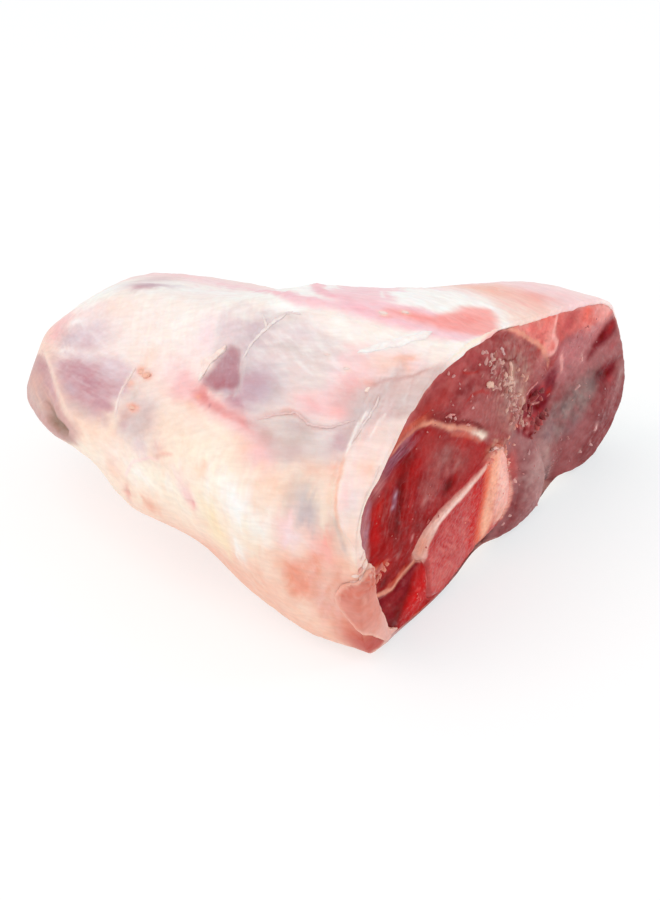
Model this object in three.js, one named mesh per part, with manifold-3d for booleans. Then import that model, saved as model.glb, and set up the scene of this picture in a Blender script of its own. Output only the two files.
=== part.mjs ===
// Raw half leg of lamb lying on its side: one body of meat under its fat, and the sawn leg bone.
// Millimetres. +X points out of the sawn end, +Z is up, and the underside rests on z = 0.
import * as THREE from "three";
import { mergeVertices } from "three/addons/utils/BufferGeometryUtils.js";
import Module from "manifold-3d";

const wasm = await Module();
wasm.setup();

// ---- driving dimensions ----

// The cut is a plane: x = cutMiddle + cutSlant * y + cutLean * z.
const shankTipX = -100;
const cutMiddle = 70.7;
const cutSlant = 0.32;
const cutLean = 0.067;

// How far round the section each reach is measured, in degrees from +Y towards +Z.
const facings = { far: 22, farTop: 62, top: 71, nearTop: 125, near: 192, nearLow: 232, base: 268, farLow: 311 };

// Four sections, from the shank's tip (0) to the cut (1): the middle's y and z, and the reach each way.
const sections = [
  { along: 0.0, y: 14, z: 38, far: 35, farTop: 43, top: 28, nearTop: 38, near: 53, nearLow: 25, base: 40, farLow: 32 },
  { along: 0.33, y: 8, z: 44, far: 57, farTop: 35, top: 45, nearTop: 52, near: 58, nearLow: 37, base: 46, farLow: 48 },
  { along: 0.66, y: -6, z: 49, far: 77, farTop: 45, top: 62, nearTop: 63, near: 68, nearLow: 64, base: 51, farLow: 66 },
  { along: 1.0, y: -8, z: 42, far: 82, farTop: 74, top: 56, nearTop: 75, near: 72, nearLow: 91, base: 43, farLow: 86 },
];
const shankSquareness = 15; // a high number gives flatter sides
const cutSquareness = 10.5;
const shankDome = 0.31; // share of the length over which the shank end closes
const domeFullness = 2.4;

// Muscles that swell the skin (or, below zero, dips): place along, degrees round, spreads, height.
const swells = [
  { along: 0.6, round: 92, spanAlong: 0.13, spanRound: 28, height: 4.5 },
  { along: 0.37, round: 192, spanAlong: 0.11, spanRound: 16, height: 8 },
  { along: 0.62, round: 200, spanAlong: 0.12, spanRound: 18, height: -3.5 },
  { along: 0.76, round: 212, spanAlong: 0.1, spanRound: 14, height: -2 },
  { along: 0.43, round: 13, spanAlong: 0.08, spanRound: 18, height: -2 },
  { along: 0.03, round: 110, spanAlong: 0.1, spanRound: 40, height: -2.5 },
];

// Where the underside lifts off the board between two muscles at the cut.
const lifts = [
  { along: 1, y: -6, spanAlong: 0.1, spanY: 13, height: 6 },
  { along: 1, y: 44, spanAlong: 0.13, spanY: 11, height: 5 },
];
const liftFade = 14; // height over which a lift dies away

// Relief of the sawn end: each muscle bulges, and the gaps between muscles sink.
const cutRelief = [
  { name: "topMuscle", y: -22, z: 86, spanY: 26, spanZ: 16, height: 2.5 },
  { name: "eyeMuscle", y: -58, z: 60, spanY: 18, spanZ: 22, height: 3.5 },
  { name: "lowMuscle", y: -50, z: 14, spanY: 13, spanZ: 9, height: 2 },
  { name: "underLobe", y: 22, z: 15, spanY: 15, spanZ: 14, height: 5 },
  { name: "farLobe", y: 62, z: 24, spanY: 15, spanZ: 17, height: 3.5 },
  { name: "farTopMuscle", y: 42, z: 72, spanY: 17, spanZ: 9, height: 2 },
  { name: "seamHollow", y: 21, z: 51, spanY: 8, spanZ: 8, height: -4.5 },
  { name: "boneUndercut", y: -9, z: 5, spanY: 13, spanZ: 4, height: -5 },
  { name: "lobeGap", y: 41, z: 5, spanY: 6, spanZ: 8, height: -4 },
];
const edgeDrop = 1.6; // the cut's edge rounds back into the skin
const edgeShare = 0.08;

// The sawn bone, seen on the cut: a long wedge, then a round shaft that runs on inside the leg.
const boneFace = [
  [-49, 35], [-43, 40.5], [-32, 43], [-16, 46], [-4, 48], [3, 46], [8, 40], [11, 29], [10, 19],
  [3, 12], [-8, 11], [-18, 9.5], [-26, 7], [-32, 5.5], [-36.5, 8], [-39, 16], [-41, 25], [-46, 29],
];
const boneStand = 1.0; // the sawn face stands this far out of the cut
const shaft = [
  { x: 30, y: -4, z: 36, radius: 17 },
  { x: 0, y: 4, z: 42, radius: 12 },
  { x: -35, y: 9, z: 42, radius: 11 },
  { x: -62, y: 12, z: 39, radius: 12 },
];
const shaftEndX = -70;
const boneGap = 0.3; // clear space between bone and meat

// ---- mesh fineness ----
const aroundCount = 72;
const alongCount = 32;
const cutRingCount = 10;
const boneSides = 32;

const radians = THREE.MathUtils.degToRad;

// A smooth curve through the four sections' values.
function between(key, along) {
  const places = sections.map((section) => section.along);
  const values = sections.map((section) => section[key]);
  const last = places.length - 1;
  let i = 0;
  while (i < last - 1 && along > places[i + 1]) i += 1;
  const slopeAt = (n) => {
    if (n === 0) return (values[1] - values[0]) / (places[1] - places[0]);
    if (n === last) return (values[last] - values[last - 1]) / (places[last] - places[last - 1]);
    const before = places[n] - places[n - 1];
    const after = places[n + 1] - places[n];
    const slopeBefore = (values[n] - values[n - 1]) / before;
    const slopeAfter = (values[n + 1] - values[n]) / after;
    return (slopeBefore * after + slopeAfter * before) / (before + after);
  };
  const span = places[i + 1] - places[i];
  const u = (along - places[i]) / span;
  return (2 * u ** 3 - 3 * u ** 2 + 1) * values[i]
    + (u ** 3 - 2 * u ** 2 + u) * span * slopeAt(i)
    + (3 * u ** 2 - 2 * u ** 3) * values[i + 1]
    + (u ** 3 - u ** 2) * span * slopeAt(i + 1);
}

function bell(distance, span) {
  return Math.exp(-((distance / span) ** 2));
}

function cutX(y, z) {
  return cutMiddle + cutSlant * y + cutLean * z;
}

// A point of the skin, from its place along the leg (0 to 1) and round the section (degrees).
function skinPoint(along, round) {
  const squareness = shankSquareness + (cutSquareness - shankSquareness) * along ** 2;
  let sum = 0;
  for (const [key, facing] of Object.entries(facings)) {
    const facingShare = Math.max(Math.cos(radians(round - facing)), 1e-6);
    sum += (facingShare / between(key, along)) ** squareness;
  }
  let radius = sum ** (-1 / squareness);
  for (const swell of swells) {
    const turn = THREE.MathUtils.euclideanModulo(round - swell.round + 180, 360) - 180;
    radius += swell.height * bell(along - swell.along, swell.spanAlong) * bell(turn, swell.spanRound);
  }
  const closing = Math.min(along / shankDome, 1);
  radius *= (1 - (1 - closing) ** domeFullness) ** (1 / domeFullness);
  const y = between("y", along) + radius * Math.cos(radians(round));
  let z = Math.max(between("z", along) + radius * Math.sin(radians(round)), 0);
  for (const lift of lifts) {
    const near = bell(along - lift.along, lift.spanAlong) * bell(y - lift.y, lift.spanY);
    z += lift.height * near * bell(z, liftFade);
  }
  return new THREE.Vector3(shankTipX + (cutX(y, z) - shankTipX) * along, y, z);
}

// The cut's relief at a place on it; share is 1 at the rim and 0 in the middle.
function reliefAt(y, z, share) {
  let height = 0;
  for (const lobe of cutRelief) {
    height += lobe.height * bell(y - lobe.y, lobe.spanY) * bell(z - lobe.z, lobe.spanZ);
  }
  const edge = Math.max((share - 1 + edgeShare) / edgeShare, 0);
  return height * (1 - edge ** 2) - edgeDrop * edge ** 2;
}

// ---- closed meshes from stacked rings ----

// Rings of equal length, from first to last, closed by a point at each end.
function closedFromRings(firstPoint, rings, lastPoint) {
  const points = [firstPoint, ...rings.flat(), lastPoint];
  const count = rings[0].length;
  const lastIndex = points.length - 1;
  const index = [];
  for (let side = 0; side < count; side += 1) {
    const next = (side + 1) % count;
    index.push(0, 1 + next, 1 + side);
    for (let ring = 0; ring < rings.length - 1; ring += 1) {
      const here = 1 + ring * count;
      const there = here + count;
      index.push(here + side, there + next, there + side);
      index.push(here + side, here + next, there + next);
    }
    const lastRing = 1 + (rings.length - 1) * count;
    index.push(lastIndex, lastRing + side, lastRing + next);
  }
  const geometry = new THREE.BufferGeometry();
  geometry.setAttribute("position", new THREE.Float32BufferAttribute(points.flatMap((point) => point.toArray()), 3));
  geometry.setIndex(index);
  return geometry;
}

function toSolid(geometry) {
  const bare = geometry.clone();
  bare.deleteAttribute("normal");
  bare.deleteAttribute("uv");
  const merged = mergeVertices(bare, 1e-4);
  const solid = new wasm.Manifold(new wasm.Mesh({
    numProp: 3,
    vertProperties: new Float32Array(merged.attributes.position.array),
    triVerts: new Uint32Array(merged.index.array),
  }));
  return solid;
}

function toGeometry(solid) {
  const mesh = solid.getMesh();
  const geometry = new THREE.BufferGeometry();
  geometry.setAttribute("position", new THREE.BufferAttribute(new Float32Array(mesh.vertProperties), 3));
  geometry.setIndex(new THREE.BufferAttribute(new Uint32Array(mesh.triVerts), 1));
  geometry.computeVertexNormals();
  return geometry;
}

// ---- the meat ----

function meatBody() {
  const rings = [];
  for (let step = 1; step <= alongCount; step += 1) {
    const along = step / alongCount;
    const ring = [];
    for (let side = 0; side < aroundCount; side += 1) {
      ring.push(skinPoint(along, (360 * side) / aroundCount));
    }
    rings.push(ring);
  }
  const rim = rings[rings.length - 1];
  const middleY = between("y", 1);
  const middleZ = between("z", 1);
  for (let step = 1; step < cutRingCount; step += 1) {
    const share = 1 - (step / cutRingCount) ** 1.5;
    rings.push(rim.map((edge) => {
      const y = middleY + (edge.y - middleY) * share;
      const z = middleZ + (edge.z - middleZ) * share;
      return new THREE.Vector3(cutX(y, z) + reliefAt(y, z, share), y, z);
    }));
  }
  const tip = new THREE.Vector3(shankTipX, between("y", 0), between("z", 0));
  const heart = new THREE.Vector3(cutX(middleY, middleZ) + reliefAt(middleY, middleZ, 0), middleY, middleZ);
  return closedFromRings(tip, rings, heart);
}

// ---- the bone ----

// The face's outline at each reach past the cut, then round sections of the shaft.
// grow widens all of it, for the hollow it lies in.
function boneBody(grow, reaches) {
  const corners = boneFace.map(([y, z]) => new THREE.Vector3(0, y, z));
  const outline = new THREE.CatmullRomCurve3(corners, true, "centripetal").getSpacedPoints(boneSides);
  outline.pop();
  const middle = outline.reduce((sum, point) => sum.add(point), new THREE.Vector3()).divideScalar(boneSides);
  const start = new THREE.Vector3().subVectors(outline[0], middle);
  const startAngle = Math.atan2(start.z, start.y);
  const faceRing = (reach) => outline.map((point) => {
    const out = new THREE.Vector3().subVectors(point, middle);
    const wide = middle.clone().addScaledVector(out, (out.length() + grow) / out.length());
    wide.x = cutX(wide.y, wide.z) + reach;
    return wide;
  });
  const shaftRing = ({ x, y, z, radius }) => outline.map((point, side) => {
    const angle = startAngle - (2 * Math.PI * side) / boneSides;
    return new THREE.Vector3(x, y + (radius + grow) * Math.cos(angle), z + (radius + grow) * Math.sin(angle));
  });
  const rings = [...reaches.map(faceRing), ...shaft.map(shaftRing)];
  const last = shaft[shaft.length - 1];
  rings.push(shaftRing({ ...last, x: shaftEndX + 2 - grow, radius: last.radius * 0.75 }));
  const front = middle.clone();
  front.x = cutX(middle.y, middle.z) + reaches[0];
  const back = new THREE.Vector3(shaftEndX - grow, last.y, last.z);
  return closedFromRings(front, rings, back);
}

const hollowReach = 12; // the hollow is cut right out through the sawn end

function part(name, geometry, colour, roughness) {
  const mesh = new THREE.Mesh(geometry, new THREE.MeshStandardMaterial({ color: colour, roughness, metalness: 0 }));
  mesh.name = name;
  return mesh;
}

const meat = toSolid(meatBody()).subtract(toSolid(boneBody(boneGap, [hollowReach, boneStand])));
const bone = toSolid(boneBody(0, [boneStand]));

const leg = new THREE.Group();
leg.add(part("leg_meat", toGeometry(meat), 0xe9b9a6, 0.45));
leg.add(part("leg_bone", toGeometry(bone), 0xd9685a, 0.4));

export default leg;
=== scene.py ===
import math
import bpy
import numpy as np
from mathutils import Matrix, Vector


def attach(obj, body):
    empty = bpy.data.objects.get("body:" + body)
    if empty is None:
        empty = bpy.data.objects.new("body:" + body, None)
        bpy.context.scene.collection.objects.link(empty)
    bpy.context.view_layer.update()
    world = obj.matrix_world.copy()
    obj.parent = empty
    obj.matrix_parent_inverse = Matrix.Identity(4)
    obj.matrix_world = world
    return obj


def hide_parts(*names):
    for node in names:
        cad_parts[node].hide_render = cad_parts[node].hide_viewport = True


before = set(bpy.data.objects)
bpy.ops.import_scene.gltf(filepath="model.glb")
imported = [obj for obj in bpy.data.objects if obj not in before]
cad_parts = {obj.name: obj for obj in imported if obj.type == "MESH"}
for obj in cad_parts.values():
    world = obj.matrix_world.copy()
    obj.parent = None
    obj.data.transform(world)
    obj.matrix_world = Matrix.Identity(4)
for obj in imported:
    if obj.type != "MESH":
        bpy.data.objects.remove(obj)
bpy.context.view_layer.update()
print("frame loaded")

mm = 0.001  # every shape below is worked out in millimetres

# colours of raw lamb, as seen in even white light, 0 to 255; the crevice colour is painted shadow, not the
# meat's own
tissue = {
    "white": (255, 252, 249),
    "milk": (254, 246, 240),
    "rosyCream": (253, 234, 227),
    "cream": (254, 238, 220),
    "peachCream": (253, 224, 205),
    "yellowFat": (253, 228, 190),
    "peach": (250, 206, 184),
    "warmPeach": (244, 188, 164),
    "salmon": (232, 160, 140),
    "orangeFlush": (238, 142, 112),
    "orangeSpot": (248, 176, 152),
    "rimRed": (188, 56, 40),
    "redFlush": (226, 128, 124),
    "coral": (252, 156, 150),
    "hotCoral": (250, 134, 126),
    "pinkFlush": (248, 194, 194),
    "palePink": (252, 212, 214),
    "rosyPink": (250, 203, 211),
    "lipPink": (248, 222, 214),
    "rosePink": (253, 226, 231),
    "arcPink": (248, 182, 194),
    "dustyPink": (222, 178, 175),
    "brownPink": (208, 156, 150),
    "mauve": (202, 150, 162),
    "deepMauve": (190, 126, 138),
    "window": (174, 112, 126),
    "windowRed": (182, 96, 108),
    "lavender": (228, 206, 212),
    "palePurple": (200, 176, 188),
    "silver": (232, 214, 212),
    "slate": (202, 187, 188),
    "mist": (236, 222, 222),
    "beigeGrey": (210, 188, 180),
    "dustyGrey": (212, 184, 180),
    "endBrown": (202, 152, 148),
    "creviceShadow": (150, 118, 100),
    "rawEdge": (156, 66, 60),
}


def linear(colour):
    share = np.asarray(colour, float) / 255
    return np.where(share <= 0.04045, share / 12.92, ((share + 0.055) / 1.055) ** 2.4)


def bell(distance, span):
    return np.exp(-((distance / span) ** 2))


def smoothStep(low, high, value):
    share = np.clip((value - low) / (high - low), 0, 1)
    return share * share * (3 - 2 * share)


def latticeNoise(points, seed):
    # smooth random bumps, about -1 to 1, on a lattice one unit apart
    base = np.floor(points).astype(np.int64)
    part = points - base
    ease = part * part * part * (part * (part * 6 - 15) + 10)
    total = np.zeros(len(points))
    for corner in range(8):
        step = np.array([corner & 1, corner >> 1 & 1, corner >> 2 & 1])
        cell = (base + step).astype(np.uint64)
        mixed = cell[:, 0] * np.uint64(73856093) ^ cell[:, 1] * np.uint64(19349663)
        mixed ^= cell[:, 2] * np.uint64(83492791) ^ np.uint64(seed * 2654435761)
        for shift, factor in ((15, 2246822519), (13, 3266489917)):
            mixed &= np.uint64(0xFFFFFFFF)
            mixed = (mixed ^ mixed >> np.uint64(shift)) * np.uint64(factor)
        mixed = (mixed & np.uint64(0xFFFFFFFF)) >> np.uint64(2)
        lean = np.stack([mixed >> np.uint64(10 * i) & np.uint64(1023) for i in range(3)], 1) / 511.5 - 1
        away = part - step
        total += (lean * away).sum(1) * np.prod(np.where(step == 1, ease, 1 - ease), axis=1)
    return 1.6 * total


octaveTurn = np.array([[0.8, 0.36, -0.48], [-0.6, 0.48, -0.64], [0, 0.8, 0.6]])


def fractalNoise(points, size, octaves, seed):
    total = np.zeros(len(points))
    strength = 1.0
    places = points @ octaveTurn / size + 3.7
    for octave in range(octaves):
        total += strength * latticeNoise(places + 17.3 * octave, seed + octave)
        strength *= 0.5
        places = places @ octaveTurn * 2.03
    return total / (2 - 2 * 0.5**octaves)


def distanceToLine(places, line, reach=25.0):
    # nearest distance from each place to a line of points, and how far along the line that is, 0 to 1
    line = np.asarray(line, float)
    lengths = np.linalg.norm(np.diff(line, axis=0), axis=1)
    before = np.concatenate([[0], np.cumsum(lengths)])
    nearest = np.full(len(places), reach)
    share = np.zeros(len(places))
    near = np.flatnonzero(((places > line.min(0) - reach) & (places < line.max(0) + reach)).all(1))
    close = places[near]
    best = np.full(len(near), reach)
    bestShare = np.zeros(len(near))
    for i in range(len(line) - 1):
        run = line[i + 1] - line[i]
        t = np.clip((close - line[i]) @ run / max(run @ run, 1e-9), 0, 1)
        away = np.linalg.norm(close - line[i] - t[:, None] * run, axis=1)
        closer = away < best
        best[closer] = away[closer]
        bestShare[closer] = ((before[i] + t * lengths[i]) / before[-1])[closer]
    nearest[near] = best
    share[near] = bestShare
    return nearest, share


def depthInside(places, outline):
    # distance to the outline, positive inside it
    outline = np.asarray(outline, float)
    closed = np.vstack([outline, outline[:1]])
    away, _ = distanceToLine(places, closed)
    inside = np.zeros(len(places), bool)
    for (ax, ay), (bx, by) in zip(closed[:-1], closed[1:]):
        crosses = (ay > places[:, 1]) != (by > places[:, 1])
        rise = by - ay if abs(by - ay) > 1e-9 else 1e-9
        inside ^= crosses & (places[:, 0] < (bx - ax) * (places[:, 1] - ay) / rise + ax)
    return np.where(inside, away, -away)


def smoothLine(points, perStep=8, closed=False):
    # a smooth curve through given points
    points = np.asarray(points, float)
    count = len(points)
    out = []
    steps = count if closed else count - 1
    for i in range(steps):
        p0 = points[(i - 1) % count] if closed or i > 0 else points[0]
        p1 = points[i]
        p2 = points[(i + 1) % count]
        p3 = points[(i + 2) % count] if closed or i + 2 < count else points[-1]
        for t in np.arange(perStep) / perStep:
            out.append(0.5 * (2 * p1 + (p2 - p0) * t + (2 * p0 - 5 * p1 + 4 * p2 - p3) * t**2
                              + (3 * p1 - 3 * p2 + p3 - p0) * t**3))
    if not closed:
        out.append(points[-1])
    return np.array(out)


def newPiece(name, points, faces, colours):
    # a mesh object from points in millimetres, with its painted colours kept on its points
    mesh = bpy.data.meshes.new(name)
    mesh.from_pydata((np.asarray(points) * mm).tolist(), [], faces)
    mesh.update()
    mesh.polygons.foreach_set("use_smooth", np.ones(len(mesh.polygons), bool))
    layer = mesh.attributes.new("tint", "FLOAT_COLOR", "POINT")
    rgba = np.ones((len(points), 4), np.float32)
    rgba[:, :3] = np.clip(colours, 0, 1)
    layer.data.foreach_set("color", rgba.ravel())
    piece = bpy.data.objects.new(name, mesh)
    bpy.context.scene.collection.objects.link(piece)
    return piece


def ringFaces(rings, around):
    # quads between stacked closed rings
    faces = []
    for ring in range(rings - 1):
        here = ring * around
        there = here + around
        for side in range(around):
            after = (side + 1) % around
            faces.append((here + side, here + after, there + after, there + side))
    return faces


def cappedRings(rings, around):
    # stacked closed rings, with a point at each end that comes after them
    faces = ringFaces(rings, around)
    first = rings * around
    last = first - around
    for side in range(around):
        after = (side + 1) % around
        faces.append((first, after, side))
        faces.append((first + 1, last + side, last + after))
    return faces


def endedRings(rings, around):
    # stacked closed rings, with a flat face at each end
    ends = [tuple(range(around))[::-1], tuple(range((rings - 1) * around, rings * around))]
    return ringFaces(rings, around) + ends


def evenOutline(outline, count):
    # points at even steps round a closed outline
    closed = np.vstack([outline, outline[:1]])
    travelled = np.concatenate([[0], np.cumsum(np.linalg.norm(np.diff(closed, axis=0), axis=1))])
    stops = np.linspace(0, travelled[-1], count, endpoint=False)
    return np.column_stack([np.interp(stops, travelled, closed[:, i]) for i in range(2)])


def flatPoints(places):
    return np.column_stack([places, np.zeros(len(places))])


def wandering(points, size, *seeds):
    # how far each point strays, two ways
    return np.stack([fractalNoise(points, size, 3, seed) for seed in seeds], 1)


def taper(share):
    # 1 along most of a line and 0 at its ends
    return smoothStep(0, 0.1, share) * smoothStep(0, 0.1, 1 - share)


# the leg's form: four sections from the shank's tip to the cut, as in the frame
legForm = {
    "tipX": -100.0,
    "cutMiddle": 70.7,
    "cutSlant": 0.32,
    "cutLean": 0.067,
    "length": 172.0,  # one unit along, in millimetres, for placing patches
    "along": [0, 0.33, 0.66, 1.0],
    "middleY": [14, 8, -6, -8],
    "middleZ": [38, 44, 49, 42],
    "facings": [22, 62, 71, 125, 192, 232, 268, 311],  # degrees from +Y towards +Z
    "reaches": [
        [35, 43, 28, 38, 53, 25, 40, 32],
        [57, 35, 45, 52, 58, 37, 46, 48],
        [77, 45, 62, 63, 68, 64, 51, 66],
        [82, 74, 56, 75, 72, 91, 43, 86],
    ],
    "squareness": (15.0, 10.5),
    "dome": 0.31,
    "domeFullness": 2.4,
    # place along, degrees round, spread along, spread round, height
    "swells": [
        (0.6, 92, 0.13, 28, 4.5),
        (0.37, 192, 0.11, 16, 8),
        (0.62, 200, 0.12, 18, -3.5),
        (0.76, 212, 0.1, 14, -2),
        (0.43, 13, 0.08, 18, -2),
        (0.03, 110, 0.1, 40, -2.5),
    ],
    # place along, y, spread along, spread in y, height
    "lifts": [(1, -6, 0.1, 13, 6), (1, 44, 0.13, 11, 5)],
    "liftFade": 14,
}


def between(values, along):
    values = np.asarray(values, float)
    places = np.asarray(legForm["along"], float)
    slopes = np.gradient(values, places, axis=0)
    i = np.clip(np.searchsorted(places, along) - 1, 0, len(places) - 2)
    span = places[i + 1] - places[i]
    u = (along - places[i]) / span
    if values.ndim > 1:
        u = u[:, None]
        span = span[:, None]
    return ((2 * u**3 - 3 * u**2 + 1) * values[i] + (u**3 - 2 * u**2 + u) * span * slopes[i]
            + (3 * u**2 - 2 * u**3) * values[i + 1] + (u**3 - u**2) * span * slopes[i + 1])


cutHeart = np.array([legForm["middleY"][-1], legForm["middleZ"][-1]])


def cutX(y, z):
    return legForm["cutMiddle"] + legForm["cutSlant"] * y + legForm["cutLean"] * z


def skinPoints(along, degrees):
    # one point for each pair of place along and degrees round
    form = legForm
    turn = np.radians(degrees)
    low, high = form["squareness"]
    squareness = low + (high - low) * along**2
    facing = np.radians(form["facings"])
    share = np.maximum(np.cos(turn[:, None] - facing[None]), 1e-6)
    radius = ((share / between(form["reaches"], along)) ** squareness[:, None]).sum(1) ** (-1 / squareness)
    for place, round_, spanAlong, spanRound, height in form["swells"]:
        away = (degrees - round_ + 180) % 360 - 180
        radius += height * bell(along - place, spanAlong) * bell(away, spanRound)
    closing = np.clip(along / form["dome"], 0, 1)
    radius *= (1 - (1 - closing) ** form["domeFullness"]) ** (1 / form["domeFullness"])
    y = between(form["middleY"], along) + radius * np.cos(turn)
    z = np.maximum(between(form["middleZ"], along) + radius * np.sin(turn), 0)
    for place, liftY, spanAlong, spanY, height in form["lifts"]:
        z = z + height * bell(along - place, spanAlong) * bell(y - liftY, spanY) * bell(z, form["liftFade"])
    x = form["tipX"] + (cutX(y, z) - form["tipX"]) * along
    return np.stack([x, y, z], 1)


def outwards(along, degrees):
    # the skin's outward direction at each place
    nudge = 1e-3
    across = skinPoints(along, degrees + 0.2) - skinPoints(along, degrees - 0.2)
    before, after = (np.clip(along + way * nudge, 0.0005, 1) for way in (-1, 1))
    down = skinPoints(after, degrees) - skinPoints(before, degrees)
    out = np.cross(across, down)
    return out / np.maximum(np.linalg.norm(out, axis=1, keepdims=True), 1e-9)


def spotCover(places, x, y, halfX, halfY, tilt=0, hardness=1, around=False):
    # a soft oval patch, 1 in its middle
    dx = places[:, 0] - x
    dy = turnedAway(places[:, 1], y) if around else places[:, 1] - y
    c = math.cos(math.radians(tilt))
    s = math.sin(math.radians(tilt))
    reach = ((c * dx + s * dy) / halfX) ** 2 + ((c * dy - s * dx) / halfY) ** 2
    return np.exp(-(reach**hardness))


def streakNoise(places, spacing, tilt, seed, stretch=7.0):
    # noise drawn out along one direction, like fibres
    c = math.cos(math.radians(tilt))
    s = math.sin(math.radians(tilt))
    lengthwise = (c * places[:, 0] + s * places[:, 1]) / stretch
    crosswise = c * places[:, 1] - s * places[:, 0]
    return fractalNoise(np.stack([lengthwise, crosswise, 0 * crosswise], 1), spacing, 3, seed)


# ways to lay on a colour of a palette: its name, its strength, then where it goes
def area(name, strength, softness, outline):
    # inside an outline, with a soft edge
    def cover(places, seed, around):
        return smoothStep(-softness, softness, depthInside(places, smoothLine(outline, 5, closed=True)))

    return name, strength, cover


def stroke(name, strength, startWidth, endWidth, points):
    # along a line, fainter at its ends
    def cover(places, seed, around):
        away, share = distanceToLine(places, smoothLine(points))
        width = startWidth + (endWidth - startWidth) * share
        return np.exp(-((away / width) ** 3)) * (0.3 + 0.7 * taper(share))

    return name, strength, cover


def dab(name, strength, *oval):
    # a soft oval: its middle, half sizes, tilt and hardness
    def cover(places, seed, around):
        return spotCover(places, *oval, around=around)

    return name, strength, cover


def streaks(name, strength, spacing, x, y, halfX, halfY, tilt):
    # fibres in an oval, drawn out along the tilt
    def cover(places, seed, around):
        share = spotCover(places, x, y, halfX, halfY, 0, 1.3, around)
        near = share > 0.02
        share[near] *= smoothStep(-0.35, 0.65, streakNoise(places[near], spacing, tilt, seed))
        return share

    return name, strength, cover


def mottle(name, strength, grain, x, y, halfX, halfY, tilt):
    # flecks in a tilted oval, round on the skin and drawn out along the fibres on the cut
    def cover(places, seed, around):
        share = spotCover(places, x, y, halfX, halfY, tilt, 1.3, around)
        near = share > 0.02
        stretch = 1 if around else cutRelief["mottleStretch"]
        share[near] *= smoothStep(-0.2, 0.5, streakNoise(places[near], grain, -45, seed, stretch))
        return share

    return name, strength, cover


def layColours(colour, places, layers, palette, around=False):
    # lays each layer over the last; around is for places that go round the leg in degrees
    for i, (name, strength, cover) in enumerate(layers, 1):
        share = strength * cover(places, 200 + 7 * i, around)
        colour += (linear(palette[name]) - colour) * share[:, None]
    return colour


# colour of the skin round the leg, degrees from the far side over the top
skinBase = [
    (0, "rosyCream"), (40, "palePink"), (70, "milk"), (95, "white"), (108, "milk"), (122, "rosyCream"),
    (140, "rosyCream"), (156, "peachCream"), (172, "cream"), (186, "peachCream"), (200, "warmPeach"),
    (228, "warmPeach"), (262, "peach"), (300, "peachCream"), (335, "cream"), (360, "rosyCream"),
]

# which way the skin's fibres run, placed by millimetres along from the tip and degrees round
skinFibres = {
    "spacing": 1.5,
    "fray": (2.2, 4.5),  # mm that soft patches are drawn out by single strands and by bundles
    "bundle": 5.0,
    "shade": 0.075,
    "cloudSize": 13,
    "cloud": 0.05,
    # middle, half sizes, tilt
    "flows": [
        (12, 122, 14, 16, 62), (40, 106, 14, 12, 80), (64, 112, 13, 16, 76), (86, 118, 12, 12, 66),
        (40, 150, 22, 9, 8),
        (18, 160, 16, 10, 28), (64, 156, 9, 9, -25), (96, 98, 16, 9, 40), (124, 98, 16, 8, 14),
        (150, 98, 16, 9, 6),
        (124, 126, 30, 10, 4), (98, 136, 9, 9, 66), (110, 147, 22, 4, 4), (138, 147, 18, 4, -5),
        (162, 133, 8, 11, 74),
        (166, 155, 7, 14, 66), (78, 170, 24, 9, 40), (98, 180, 22, 16, 80), (122, 182, 14, 20, 96),
        (146, 182, 14, 18, 124),
        (164, 190, 10, 16, 100), (152, 164, 10, 6, 100), (60, 60, 30, 34, 80), (110, 60, 30, 26, 62),
        (150, 60, 20, 24, 24),
        (110, 20, 60, 22, 10), (80, 255, 90, 42, 5), (90, 320, 90, 36, 12),
    ],
}

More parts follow.
